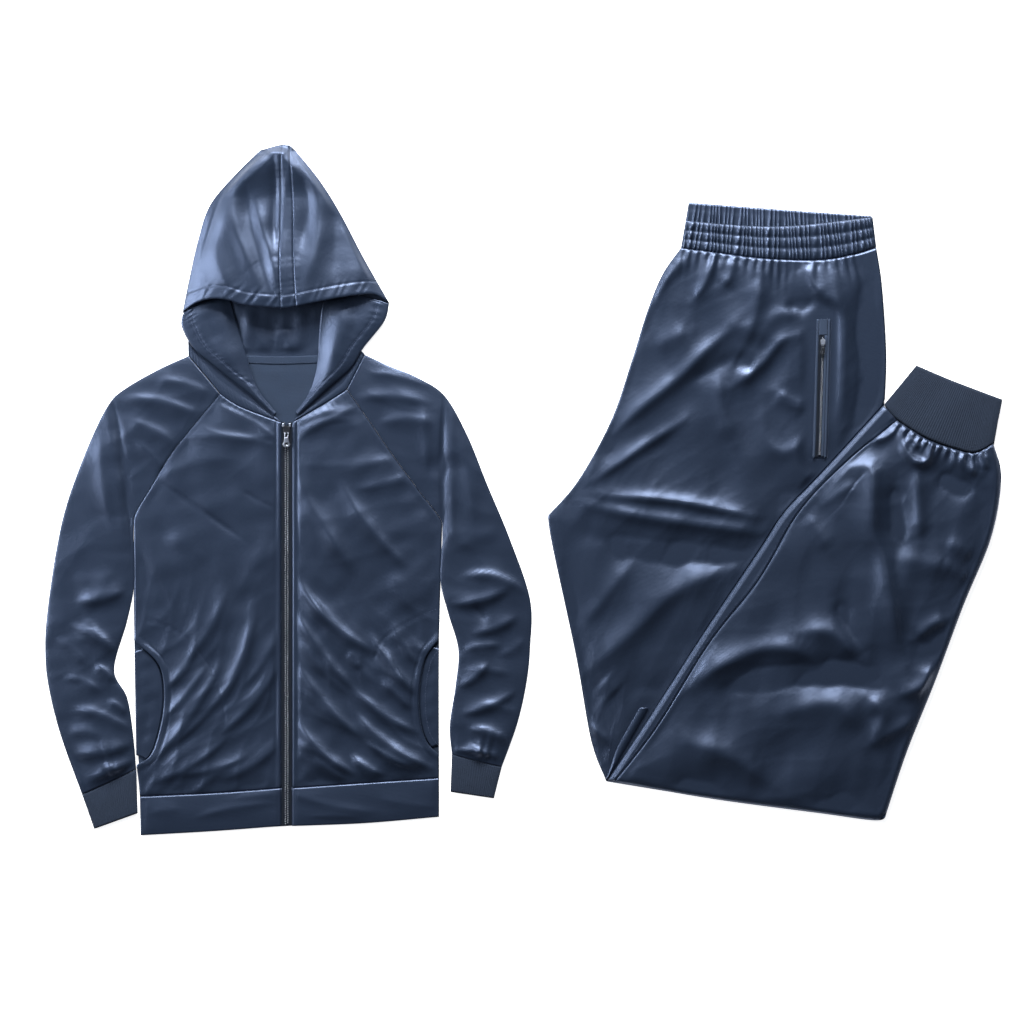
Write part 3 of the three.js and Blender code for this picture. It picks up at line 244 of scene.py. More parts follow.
def signed_nearest(xy, run):
    """As nearest, with +1 where a point is on the left of the run and -1 on its right."""
    away, along = nearest(xy, run)
    steps = np.linalg.norm(np.diff(run, axis=0), axis=1)
    index = np.clip(np.searchsorted(np.cumsum(steps), along), 0, len(steps) - 1)
    way, start = np.diff(run, axis=0)[index], xy - run[:-1][index]
    side = np.sign(way[..., 0] * start[..., 1] - way[..., 1] * start[..., 0])
    return away, along, side


# Folds. Each row is (x1, y1, x2, y2, bow, wide, high, lean): a ridge from one point to
# another, or a trough where high is below zero. bow is how far its middle swings to the
# left, wide its half width, and lean from -1 to 1 makes its left side steep or gentle.


def fold_height(folds, xy, spread=1.25):
    """Sum of high * fade * exp(-1.35 (sqrt(q^2 + 0.12) - 0.35)), a crest with long soft
    flanks, with q = d / w and w = spread * wide * taper * (1 - 0.6 lean tanh(2 d / wide))."""
    height = np.zeros(xy.shape[:-1])
    for x1, y1, x2, y2, bow, wide, high, *rest in folds:
        lean = rest[0] if rest else 0.0
        way = np.array([x2 - x1, y2 - y1], float)
        start = xy - np.array([x1, y1], float)
        along = start @ way / (way @ way)
        cross = (way[0] * start[..., 1] - way[1] * start[..., 0]) / np.linalg.norm(way)
        across = cross - bow * 4 * along * (1 - along)
        middle = np.clip(1 - np.abs(2 * along - 1), 0, 1)
        width = spread * wide * (0.6 + 0.5 * middle) * (1 - 0.6 * lean * np.tanh(2 * across / wide))
        fade = ease(-0.12, 0.3, along) * (1 - ease(0.7, 1.12, along))
        away = np.sqrt((across / width) ** 2 + 0.12) - 0.35
        height += high * np.exp(-1.35 * away) * fade
    return height


def ridges(rows, xy, spread=1.0):
    """Curved folds. A row is (points, wide, high, slope): a crest through the points, or a
    trough where high is below zero. Height is the sum of high * ends *
    exp(-q^2 / (1 + 0.7 q)), with q = d / (spread * wide) on the left of the run and
    d / (spread * slope * wide) on its right. ends fades over a quarter of its length, where
    the fold also narrows by 0.7 + 0.3 ends."""
    height = np.zeros(xy.shape[:-1])
    for points, wide, high, *rest in rows:
        run = sampled(line(points), 5 * len(points))
        away, along, side = signed_nearest(xy, run)
        total = np.linalg.norm(np.diff(run, axis=0), axis=1).sum()
        left, right = spread * wide, spread * wide * (rest[0] if rest else 0.7)
        ends = 0.25 + 0.75 * ease(0, 0.28, along / total) * (1 - ease(0.72, 1, along / total))
        q = away / (np.where(side > 0, left, right) * (0.7 + 0.3 * ends))
        height += high * ends * np.exp(-(q**2) / (1 + 0.7 * q))
    return height


def undulation(xy, seed, size, high, stretch=(1.0, 1.0)):
    """Soft uneven waves: a mean of sines of random ways, about one size long, high apiece."""
    draw = np.random.default_rng(seed)
    waves = 12
    angle = draw.uniform(0, 2 * math.pi, waves)
    phase = draw.uniform(0, 2 * math.pi, waves)
    length = size * draw.uniform(0.7, 1.7, waves)
    out = np.zeros(xy.shape[:-1])
    for way, start, span in zip(angle, phase, length):
        turn = (xy[..., 0] * math.cos(way) / stretch[0] + xy[..., 1] * math.sin(way) / stretch[1])
        out += np.sin(2 * math.pi * turn / span + start)
    return high * out / math.sqrt(waves / 2)


def streaks(xy, seed, angle, size, high, spread=0.22):
    """Long soft pulls of the cloth: crests (1 - |wave|)^2 of waves that run about one way."""
    draw = np.random.default_rng(seed)
    total = np.zeros(xy.shape[:-1])
    for _ in range(5):
        way = angle + math.pi / 2 + draw.normal(0, spread)
        span = size * draw.uniform(0.7, 1.6)
        phase = draw.uniform(0, 2 * math.pi)
        turn = (xy[..., 0] * math.cos(way) + xy[..., 1] * math.sin(way)) / span
        along = (xy[..., 1] * math.cos(way) - xy[..., 0] * math.sin(way)) / (span * 4.2)
        bend = 0.9 * np.sin(2 * math.pi * along + phase)
        strength = 0.5 + 0.5 * np.sin(2 * math.pi * along * 0.8 + 2 * phase)
        total += (1 - np.abs(np.sin(math.pi * turn + bend))) ** 2 * strength
    return high * (total - 0.8)


def groove(away, at, wide, deep):
    """A stitched line: -deep * exp(-((d - at) / wide)^2)."""
    return -deep * np.exp(-(((away - at) / wide) ** 2))


def puckers(away, along, pitch, reach, high):
    """Seam puckers: high * sin(2 pi s / pitch) * exp(-(d / reach)^2), unevenly spaced."""
    uneven = along + 0.35 * pitch * np.sin(along / (2.3 * pitch)) + 0.2 * pitch * np.sin(along / 5.1)
    strength = 0.65 + 0.35 * np.sin(along / (3.7 * pitch) + 1.3)
    return high * strength * np.sin(2 * math.pi * uneven / pitch) * np.exp(-((away / reach) ** 2))


def sewn(away, along, wide, deep, pitch, reach, high):
    """A sewn seam: the groove along it and the puckers beside it."""
    return groove(away, 0, wide, deep) + puckers(away, along, pitch, reach, high)


# Tables of the jacket. x runs from the zip to the right, y up from the bottom of the zip.
# Each sleeve row is (outer x, outer y, seam x, seam y) from the neck to the cuff. pulls is
# (seed, way of the pulls below, way of those on the chest, strength of the folds below).

SIDES = {
    "left": {
        "sign": -1,
        "sleeve": [
            (-138, 660, -94, 607), (-180, 641, -130, 564), (-227, 614, -163.5, 521),
            (-250, 592, -190, 477), (-276, 540, -214.9, 432), (-307, 458, -214.2, 391),
            (-323, 390, -214.4, 336), (-336, 301, -224, 287), (-339, 250, -242, 220),
            (-335, 200, -224, 181), (-318, 130, -216, 134), (-287, 44, -211, 80),
        ],
        "cuff_end": (-270, -4, -209, 18),
        "hem": [(-205, -13), (-100, -7), (-FRONT_EDGE, 0)],
        "hem_seam": [(-206, 41), (-100, 46), (-FRONT_EDGE, HEM_TOP_FRONT)],
        "low_side": [(-206, 41), (-208, 64), (-211, 86)],
        "pocket": [(-211, 86), (-190, 101), (-176, 145), (-172, 190), (-181, 229), (-214, 259)],
        "high_side": [(-214, 259), (-214, 345), (-214.6, 432)],
        "neck_middle": (-66, 589),
        "bag": [(-212, 294), (-176, 284), (-141, 264), (-110, 226), (-92, 184), (-86, 150)],
        "pulls": (11, 0.95, 0.12, 1.25),
        "folds": [
            (-104, 594, -12, 542, 4, 7, 3.6, 0.5), (-150, 547, -14, 534, 5, 7, 3, 0.4),
            (-128, 562, -16, 548, -8, 5, 2.0, 0.3), (-176, 492, -70, 516, 6, 13, 3, 0.2),
            (-193, 86, -97, 222, -7, 9, 3.8, -0.4), (-186, 62, -84, 124, -7, 8, 3.4, -0.4),
            (-92, 130, -12, 226, -7, 9, 3.8, -0.4), (-90, 66, -14, 112, -5, 9, 3.2, -0.3),
            (-92, 172, -44, 310, -8, 9, 3.6, -0.3), (-134, 240, -84, 330, -5, 9, 3.0, -0.3),
            (-70, 330, -24, 420, -6, 15, 2.2, 0), (-162, 112, -70, 214, -6, 6, 2.4, -0.5),
            (-176, 150, -112, 226, -4, 6, 2.6, -0.4), (-166, 196, -128, 250, -3, 6, 2.4, -0.3),
            (-180, 484, -60, 402, 1, 3.2, -1.5, 0.5), (-64, 472, -17, 446, 0, 2.4, -1.0, 0.4),
            (-206, 380, -166, 312, 2, 3, -1.0, 0.3), (-150, 72, -60, 96, -4, 6, 2.4, -0.3),
            (-60, 196, -14, 268, -4, 7, 2.6, -0.3), (-170, 402, -110, 372, 6, 16, 1.6, 0),
            (-124, 444, -60, 470, -4, 20, 1.8, 0), (-198, 128, -176, 214, 3, 5, 1.8, 0),
        ],
        "sleeve_folds": [
            (-246, 604, -218, 396, 4, 3, -2.8, -0.6), (-258, 600, -230, 410, 4, 10, 2.4, 0.5),
            (-180, 626, -100, 606, 4, 8, 2.6, 0.4),
            (-232, 600, -128, 580, 6, 9, 3.6, 0.5), (-226, 570, -152, 532, 5, 10, 3.2, 0.3),
            (-212, 540, -172, 500, 2, 6, 1.8, 0.3), (-262, 560, -246, 420, -4, 11, 2.6, 0),
            (-292, 316, -226, 332, -4, 9, 4.4, -0.5), (-300, 282, -238, 244, 5, 7, 5.4, 0.5),
            (-268, 226, -240, 204, 2, 6, 4.2, 0.5), (-296, 164, -220, 136, 5, 9, 4.8, 0.5),
            (-298, 100, -216, 116, -4, 8, 5.0, -0.5), (-276, 66, -216, 92, -3, 5, 4.2, -0.5),
            (-322, 262, -282, 226, 4, 8, 2.6, 0.3), (-312, 208, -262, 190, 5, 7, 2.6, 0.3),
            (-306, 132, -262, 128, 3, 6, 2.0, 0), (-250, 176, -224, 158, 2, 5, 3.0, 0.4),
            (-300, 348, -240, 356, -4, 10, 2.0, -0.3), (-262, 84, -232, 76, 3, 4, 2.6, 0.4),
            (-286, 290, -262, 270, 3, 4, 1.8, 0.4),
        ],
        "band_folds": [
            (-126, 12, -20, 32, 4, 7, 1.7), (-190, 18, -150, 24, 2, 8, 1.0),
            (-70, 40, -16, 46, 2, 5, 0.9),
        ],
    },
    "right": {
        "sign": 1,
        "sleeve": [
            (110, 662, 85, 613), (144, 646, 118, 566), (183, 630, 149, 521), (222, 604, 185, 472),
            (254, 548, 218.8, 425), (282, 479, 217.3, 386), (314, 402, 216.3, 342),
            (342, 318, 227, 298), (342, 252, 241, 248), (337, 202, 237, 197), (324, 144, 229, 142),
            (302, 83, 232, 101),
        ],
        "cuff_end": (291, 39, 230, 48),
        "hem": [(214, 13), (110, 4), (FRONT_EDGE, 0)],
        "hem_seam": [(214, 67), (110, 60), (FRONT_EDGE, HEM_TOP_FRONT)],
        "low_side": [(214, 67), (214, 86), (213, 101)],
        "pocket": [(213, 101), (196, 120), (187, 150), (186, 192), (195, 236), (214, 262)],
        "high_side": [(214, 262), (216, 340), (218.5, 425)],
        "neck_middle": (55, 594),
        "bag": [(214, 306), (186, 294), (162, 281), (142, 268), (129, 252), (124, 236)],
        "pulls": (12, 2.25, -0.12, 1.8),
        "folds": [
            (12, 542, 104, 590, 4, 7, 3.6, -0.5), (12, 566, 76, 586, 2, 5, 2.6, -0.3),
            (14, 552, 90, 572, 5, 4, 1.8, -0.3), (24, 508, 162, 520, -8, 12, 3.2, 0.2),
            (100, 474, 176, 494, -3, 8, 3.2, -0.2), (14, 492, 90, 366, -5, 12, 3.4, 0.3),
            (74, 486, 164, 368, -6, 9, 3.6, 0.4), (14, 300, 98, 188, -5, 7, 3.8, 0.4),
            (26, 330, 120, 246, -8, 9, 3.8, 0.4), (120, 268, 184, 184, -5, 6, 3.6, 0.4),
            (20, 222, 92, 134, -5, 8, 3.4, 0.4), (18, 144, 94, 74, -8, 7, 3.8, 0.4),
            (96, 158, 208, 80, -9, 9, 4.2, 0.4), (98, 188, 184, 132, -6, 7, 3.0, 0.4),
            (92, 98, 136, 72, -3, 6, 2.8, 0.3), (16, 350, 70, 276, -4, 6, 2.0, 0.3),
            (150, 282, 186, 226, -3, 5, 2.2, 0.3), (88, 246, 104, 222, -1, 4, 1.8, 0.3),
            (40, 96, 84, 66, -3, 5, 1.8, 0.3), (112, 118, 176, 84, -3, 5, 2.0, 0.3),
            (60, 430, 96, 352, -3, 16, 1.8, 0), (150, 356, 176, 300, -2, 12, 1.6, 0),
            (16, 262, 56, 214, -2, 5, 1.8, 0.3), (134, 208, 180, 164, -3, 5, 1.9, 0.3),
        ],
        "sleeve_folds": [
            (221, 604, 221, 400, -3, 3, -2.8, -0.6), (234, 596, 234, 410, -3, 9, 2.4, 0.5),
            (104, 602, 200, 594, 5, 9, 3.2, -0.3),
            (132, 566, 206, 566, 5, 9, 2.8, 0), (190, 590, 196, 500, 3, 8, 3.0, 0),
            (120, 636, 196, 618, 4, 6, 2.0, 0), (236, 570, 262, 430, 6, 11, 2.6, 0),
            (250, 352, 336, 328, 10, 7, 5.4, 0.5), (232, 312, 312, 334, -6, 7, 4.8, -0.4),
            (262, 270, 322, 292, -3, 7, 4.2, -0.4), (250, 248, 300, 254, 2, 6, 3.4, 0),
            (242, 196, 282, 228, -4, 7, 4.0, -0.4), (248, 158, 320, 188, -4, 7, 4.4, -0.4),
            (258, 138, 312, 120, 3, 6, 4.2, 0.4), (236, 106, 300, 96, 4, 5, 3.8, 0.4),
            (262, 312, 280, 286, 2, 4, -2.4, 0), (300, 240, 334, 262, -3, 7, 2.0, 0),
            (270, 172, 322, 160, 2, 5, 1.8, 0.3), (256, 116, 276, 96, 2, 4, 2.6, 0.3),
            (236, 392, 300, 420, -3, 12, 1.8, 0), (252, 220, 312, 214, 2, 6, 2.0, 0),
        ],
        "band_folds": [
            (12, 44, 124, 20, -4, 8, 1.8), (132, 38, 210, 28, -2, 8, 1.3), (30, 14, 110, 10, 2, 4, 0.7),
        ],
    },
}

# Each hood side row is (hem x, hem y, fold x, fold y, bow, rise) from the zip to the brim.
HOOD_SIDES = {
    "left": [
        (-18, 576, -15, 581, 0, 0), (-48, 603, -38, 609, 0, 2), (-83, 631, -49, 634, 0, 4),
        (-109, 652, -57, 662, 0, 5), (-131, 671, -67, 696, 0, 5), (-147, 701, -77, 733, 3, 4),
        (-146, 718, -82, 752, 5, -1),
    ],
    "right": [
        (17, 577, 13, 582, 0, 0), (38, 596, 26, 599, 0, 2), (65, 620, 36, 620, 0, 4),
        (91, 644, 43, 650, 0, 5), (108, 671, 45, 681, 0, 5), (137, 708, 48, 718, 2, 4),
        (144, 733, 53, 750, 4, -1),
    ],
}
HOOD_FOOT_ROW = {"left": 5, "right": 4}
HOOD_OUTLINE = {
    "left": [(-146, 722), (-137, 767), (-124, 824), (-107, 873), (-69, 918), (-37, 949)],
    "right": [(144, 735), (137, 747), (107, 800), (75, 861), (46, 907), (12, 949)],
}
HOOD_SEAMS = {
    "left": [(-7, 726), (-10, 800), (-9, 870), (-7, 956)],
    "right": [(14, 728.5), (10, 800), (9, 870), (4, 956)],
}
BRIM = {
    "left": [(-146, 722), (-128, 733), (-107, 739), (-83, 738), (-56, 730), (-7, 726)],
    "middle": [(-6.4, 726), (3, 726.5), (13.4, 728.5)],
    "right": [(144, 735), (126, 745.5), (105, 745.5), (65, 739), (14.6, 728.5)],
}
BRIM_LINE = line(BRIM["left"] + BRIM["middle"][1:2] + BRIM["right"][::-1])

# Curved folds, in the rows of ridges: (points, half width, height, slope of the right side)
HOOD_FOLDS = [
    ([(-30, 950), (-58, 916), (-74, 876), (-70, 838), (-56, 804), (-40, 766),
     (-30, 742)], 11, 5.4, 1.0),
    ([(-76, 890), (-90, 842), (-96, 802), (-84, 764), (-60, 742)], 16, 4.4, 0.7),
    ([(-42, 884), (-32, 838), (-20, 800), (-11, 744)], 9, 4.0, 0.8),
    ([(-56, 900), (-52, 850), (-40, 800), (-24, 750)], 7, -3.0, 1.0),
    ([(-18, 945), (-15, 900), (-17, 850), (-15, 800)], 8, -6.5, 0.8),
    ([(4, 925), (-2, 880), (-4, 820), (3, 744)], 9, 3.2, 1.0),
    ([(6, 952), (24, 925), (40, 896), (48, 868), (46, 826), (36, 786), (22, 744)], 13, 5.8, 0.8),
    ([(16, 930), (28, 890), (28, 850), (18, 800)], 8, -3.4, 1.0),
    ([(84, 862), (98, 812), (104, 752)], 22, 3.8, 0.8),
    ([(60, 884), (68, 830), (64, 760)], 11, -3.2, 1.0),
    ([(-86, 908), (-104, 850), (-122, 790)], 3, -1.6, 1.0),
]
HOOD_LINING_FOLDS = [
    ([(-58, 722), (-46, 692), (-22, 664)], 9, 3.2, 1.0),
    ([(-3, 704), (2, 680), (6, 664)], 7, 2.4, 1.0),
    ([(24, 728), (20, 694), (14, 664)], 8, 2.2, 1.0),
    ([(-40, 752), (-44, 726), (-46, 700)], 10, 2.0, 1.0),
]
HOOD_FLAP_FOLDS = [
    ([(-90, 734), (-84, 706), (-70, 672), (-56, 648)], 9, 2.6, 1.0),
    ([(-112, 724), (-108, 700), (-96, 676)], 9, -1.6, 1.0),
    ([(74, 736), (76, 706), (68, 672), (54, 646)], 10, 2.6, 1.0),
    ([(94, 730), (96, 706), (88, 684)], 9, -1.4, 1.0),
]

# Tables of the joggers. x runs from the crotch to the right, y up. They lie folded in half
# down the middle, one leg on the other, and both are folded up across the hip at the knee.
LEG = {
    "rise": [(188, 379), (162, 342), (141, 291), (119, 221), (90, 137), (44, 53), (1, 3)],
    "inseam": [(1, 3), (8, -41), (41, -195), (62, -312), (83, -368)],
    "outseam": [(462, 379), (470, 326), (476, 232), (474, 165)],
    "knee": [(83, -370), (226, -393), (382, -414), (462, -424), (476, -414)],
    "hip_hidden": [(462, -300), (470, 0), (474, 165)],
    "band_outer": [(86, -367), (148, -273), (226, -152), (298, -45), (333, 8), (382, 60), (472, 158)],
    "band_inner": [(95, -369), (155, -291), (226, -177), (298, -84), (351, 6), (413, 73), (490, 137)],
    "folded_side": [(476, -414), (505, -327), (544, -230), (584, -123), (623, -27), (637, 56), (626, 104)],
    "ankle": [(472, 158), (490, 137), (531, 111), (572, 96), (600, 91), (626, 104)],
    "cuff_end": [(518, 214), (570, 192), (639, 166)],
}
WAIST_LINES = {
    "seam": [(188, 379), (237, 373), (300, 365), (380, 363), (430, 371), (462, 381)],
    "front": [(195, 417), (260, 411), (330, 409), (400, 415), (457, 422)],
    "back": [(199, 443), (291, 436), (371, 430), (456, 424)],
}
LEG_FOLDS = [
    ([(88, 112), (130, 152), (180, 192), (225, 236), (262, 268)], 12, 4.8, 0.7),
    ([(66, 52), (130, 96), (192, 136)], 10, 3.8, 0.6),
    ([(132, 296), (160, 330), (206, 374)], 11, 3.8, 0.7),
    ([(204, 302), (222, 330), (236, 372)], 7, 3.6, 0.8),
    ([(246, 322), (256, 338), (262, 366)], 9, 3.6, 0.8),
    ([(276, 240), (292, 285), (300, 340)], 13, 5.0, 0.8),
    ([(362, 280), (330, 286), (306, 266), (294, 236)], 10, 2.8, 1.2),
    ([(258, 182), (300, 214), (326, 246), (352, 256)], 9, 4.2, 0.7),
    ([(262, 104), (244, 152), (240, 204)], 11, 3.8, 0.8),
    ([(302, 176), (306, 116), (326, 92), (352, 100), (372, 124)], 9, 2.6, 1.2),
    ([(320, 178), (344, 161), (368, 154)], 7, 3.2, 1.2),
    ([(404, 340), (410, 230), (404, 110)], 11, 4.0, 1.0),
    ([(440, 350), (446, 240), (440, 140)], 10, -3.4, 1.0),
    ([(78, 31), (180, 23), (292, 1)], 9, 4.4, 0.6),
    ([(54, 18), (150, -1), (310, -22)], 12, 4.6, 0.7),
    ([(60, -24), (150, -48), (300, -56)], 15, -4.6, 1.0),
    ([(58, -216), (120, -160), (182, -102), (262, -70)], 19, 5.4, 0.7),
    ([(52, -152), (84, -108), (122, -60)], 13, 3.0, 0.8),
    ([(58, -290), (80, -308), (98, -326)], 6, 2.6, 1.0),
    ([(76, -226), (100, -246)], 12, 2.0, 1.0),
    ([(392, 308), (372, 330), (366, 362)], 7, 3.0, 0.8),
    ([(262, 222), (292, 208)], 10, -3.2, 1.0),
    ([(330, 296), (384, 298)], 7, -2.6, 1.0),
    ([(200, 190), (262, 226)], 9, -2.6, 1.0),
    ([(150, 240), (200, 262)], 13, 2.4, 1.0),
]
FOLDED_FOLDS = [
    ([(402, 60), (428, 71), (454, 66), (455, 20), (456, -20), (470, -58), (480, -110),
     (488, -165), (500, -206)], 10, 5.8, 1.5),
    ([(517, 74), (521, 10), (523, -34)], 9, 4.4, 1.0),
    ([(486, 50), (490, 0), (500, -36)], 9, -3.8, 1.0),
    ([(498, 122), (500, 96), (516, 79), (532, 80), (538, 100), (534, 116)], 5, 3.8, 1.0),
    ([(512, 116), (517, 102), (526, 104)], 4, 2.4, 1.0),
    ([(450, 108), (472, 112), (492, 126)], 7, 3.2, 0.8),
    ([(572, 92), (586, 72), (606, 62)], 7, 3.4, 1.0),
    ([(616, 92), (612, 66)], 7, 2.0, 1.0),
    ([(548, 64), (572, 44), (602, 40)], 11, -3.6, 1.0),
    ([(556, -36), (580, -44), (598, -54)], 10, 2.2, 1.0),
    ([(552, -62), (570, -72), (592, -88)], 10, 2.2, 1.0),
    ([(486, -58), (530, -64), (566, -76)], 15, 2.8, 1.0),
    ([(562, -142), (540, -150), (514, -170)], 8, 3.8, 1.3),
    ([(546, -206), (524, -236), (490, -250)], 8, 3.8, 1.3),
    ([(205, -236), (244, -206), (300, -184), (350, -186), (374, -206)], 16, 5.2, 0.7),
    ([(230, -244), (300, -226), (400, -216), (450, -228), (496, -250)], 17, -4.6, 1.0),
    ([(352, -160), (400, -162), (436, -200)], 14, 4.2, 0.8),
    ([(404, -112), (420, -150), (444, -186)], 9, -3.0, 1.0),
    ([(322, -276), (400, -260), (444, -302)], 19, 4.6, 0.8),
    ([(446, -250), (470, -276), (456, -312)], 10, 3.4, 1.0),
    ([(522, -280), (486, -298), (448, -320)], 9, 3.2, 1.2),
    ([(198, -314), (260, -336), (318, -376)], 17, 4.4, 0.8),
    ([(362, 6), (380, -22), (396, -46)], 9, 1.9, 1.0),
    ([(378, 12), (408, 34), (436, 52)], 10, 2.2, 1.0),
]
POCKET_TOP = np.array([387.0, 256.0])
POCKET_LOW = np.array([382.0, 84.0])
POCKET_LIE = 0.9
STRIP_RUN = np.array([(141.0, -266.0), (84.0, -366.0)])

# Levels of the joggers' hidden layers, from the floor up: (height, inset of the outline)
LEG_LEVELS = [(0, 1.6), (1.1, 0.4), (2.3, 1.8), (3.5, 0.4), (4.7, 1.8), (5.9, 0.4), (7.0, 1.6)]
FOLDED_LEVELS = [(0, 2.6), (1.0, 1.4), (4.2, 1.0), (4.6, 2.4), (5.0, 1.0), (8.8, 1.0), (14.2, 12.0)]
CUFF_LEVELS = [(0, 1.4), (0.8, 0.5), (6.3, 0.6)]


# Cut of each piece laid out flat: (width, length) and area, in metres.

CUTS = {
    "front": {"flat": (0.215, 0.57), "area": 0.1},
    "pocket_left": {"flat": (0.045, 0.165), "area": 0.0051},
    "pocket_right": {"flat": (0.03, 0.15), "area": 0.0032},
    "hem_band": {"flat": (0.215, 0.058)},
    "back": {"flat": (0.433, 0.614), "area": 0.222},
    "hem_back": {"flat": (0.43, 0.056)},
    "sleeve_left": {"flat": (0.25, 0.69), "area": 0.127},
    "sleeve_right": {"flat": (0.25, 0.66), "area": 0.116},
    "cuff": {"flat": (0.148, 0.052)},
    "hood_back": {"flat": (0.295, 0.305), "area": 0.06},
    "neck_tape": {"flat": (0.107, 0.011)},
    "hood_side": {"flat": (0.105, 0.21), "area": 0.0093},
    "hood_foot_left": {"flat": (0.05, 0.19), "area": 0.0037},
    "hood_foot_right": {"flat": (0.034, 0.16), "area": 0.002},
    "hood_crown_left": {"flat": (0.14, 0.24), "area": 0.024},
    "hood_strip": {"flat": (0.024, 0.24), "area": 0.0045},
    "hood_crown_right": {"flat": (0.14, 0.24), "area": 0.0165},
    "leg_layers": {"flat": (0.48, 0.81), "area": 0.29},
    "folded_layers": {"flat": (0.42, 0.64), "area": 0.165},
    "cuff_layers": {"flat": (0.16, 0.125), "area": 0.0148},
    "leg_front": {"flat": (0.48, 0.76), "area": 0.188},
    "side_band": {"flat": (0.02, 0.68)},
    "leg_folded": {"flat": (0.42, 0.62), "area": 0.164},
    "under_leg_edge": {"flat": (0.012, 0.116), "area": 0.00115},
    "ankle_cuff": {"flat": (0.32, 0.08)},
    "waistband_back": {"flat": (0.272, 0.07)},
    "waistband_front": {"flat": (0.27, 0.048)},
}


# Meshes


def in_frame(points, at):
    """Millimetres in a garment's plan, moved to its place in the row's frame, in metres."""
    out = np.array(points, float)
    out[..., :2] += at
    return out * MM


def mesh_piece(name, points, groups, material, uv=None):
    """An object of these points and of groups of faces with equal numbers of corners."""
    volume = 0.0
    for group in groups:
        for k in range(1, group.shape[1] - 1):
            a, b, c = points[group[:, 0]], points[group[:, k]], points[group[:, k + 1]]
            volume += float(np.einsum("ij,ij->", a, np.cross(b, c)))
    if volume < 0:
        groups = [group[:, ::-1] for group in groups]
    corners = np.concatenate([group.ravel() for group in groups]).astype(np.int32)
    sizes = np.concatenate([np.full(len(group), group.shape[1]) for group in groups])
    mesh = bpy.data.meshes.new(name)
    mesh.vertices.add(len(points))
    mesh.vertices.foreach_set("co", points.astype(np.float32).ravel())
    mesh.loops.add(len(corners))
    mesh.loops.foreach_set("vertex_index", corners)
    mesh.polygons.add(len(sizes))
    mesh.polygons.foreach_set("loop_start", np.append(0, np.cumsum(sizes)[:-1]).astype(np.int32))
    mesh.polygons.foreach_set("use_smooth", np.ones(len(sizes), bool))
    mesh.update(calc_edges=True)
    if uv is not None:
        layer = mesh.uv_layers.new(name="cloth")
        layer.data.foreach_set("uv", uv[corners].astype(np.float32).ravel())
    mesh.materials.append(material)
    piece = bpy.data.objects.new(name, mesh)
    bpy.context.scene.collection.objects.link(piece)
    return piece


def wall_faces(rows, cols):
    """Faces of a closed wall between an outer and an inner grid of rows by cols points."""
    index = np.arange(rows * cols).reshape(rows, cols)
    corners = [index[:-1, :-1], index[:-1, 1:], index[1:, 1:], index[1:, :-1]]
    top = np.stack(corners, -1).reshape(-1, 4)
    rim = np.concatenate([index[0], index[1:, -1], index[-1, -2::-1], index[-2:0:-1, 0]])
    after = np.roll(rim, -1)
    sides = np.stack([after, rim, rim + rows * cols, after + rows * cols], -1)
    return np.concatenate([top, top[:, ::-1] + rows * cols, sides])


def laid_lengths(outer):
    """The grid's own map: mean arc length across and along, in metres."""
    across = np.linalg.norm(np.diff(outer, axis=1), axis=2).mean(0)
    along = np.linalg.norm(np.diff(outer, axis=0), axis=2).mean(1)
    u = np.append(0, np.cumsum(across)) * MM
    v = np.append(0, np.cumsum(along)) * MM
    return np.stack(np.meshgrid(u, v), -1).reshape(-1, 2)


def cloth_wall(name, outer, inner, at, finish):
    """A closed wall of cloth in the given finish, from two grids in a garment's plan."""
    points = in_frame(np.concatenate([outer.reshape(-1, 3), inner.reshape(-1, 3)]), at)
    uv = laid_lengths(outer)
    return mesh_piece(name, points, [wall_faces(*outer.shape[:2])], finish, np.tile(uv, (2, 1)))


def grid(across, along):
    """u and v of a grid with this many cells, as arrays of along + 1 rows."""
    scale = 1.0
    across, along = max(2, round(across * scale)), max(2, round(along * scale))
    return np.meshgrid(np.linspace(0, 1, across + 1), np.linspace(0, 1, along + 1))


def with_height(xy, z):
    return np.concatenate([xy, np.broadcast_to(z, xy.shape[:-1])[..., None]], -1)


def sheet_wall(name, across, along, place, top, at, finish, thick=WALL, under=None):
    """A sheet of cloth: place(u, v) in plan, top(xy, u, v) high, with its underside thick
    below or, where under is given, no lower than that."""
    u, v = grid(across, along)
    xy = place(u, v)
    high = top(xy, u, v)
    low = high - thick
    if under is not None:
        low = np.minimum(np.maximum(low, under), high - 0.5)
    return cloth_wall(name, with_height(xy, high), with_height(xy, low), at, finish)


def dress(piece, nodes, slot, flat=None, held="laid", area=None, rests_on=(), body=CLOTH_BODY):
    """Attaches a piece to its body and hides the solids it replaces; its slot and cut are not used."""
    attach(piece, body)
    if nodes:
        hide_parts(*nodes)


def laid_sheet(node, cells, place, top, at, finish, rests_on, slot="satin_cloth", cut=None, **depth):
    """The sheet that stands for one solid and lies on another piece. Its cut goes by its
    node's name unless one is given; depth is what sheet_wall takes as thick and under."""
    piece = sheet_wall(f"{node}_cloth", *cells, place, top, at, finish, **depth)
    dress(piece, [node], slot, **CUTS[cut or node], rests_on=[rests_on])


def closed(t):
    """Says of a flattened tube that its seam stays joined all along."""
    return t * 0


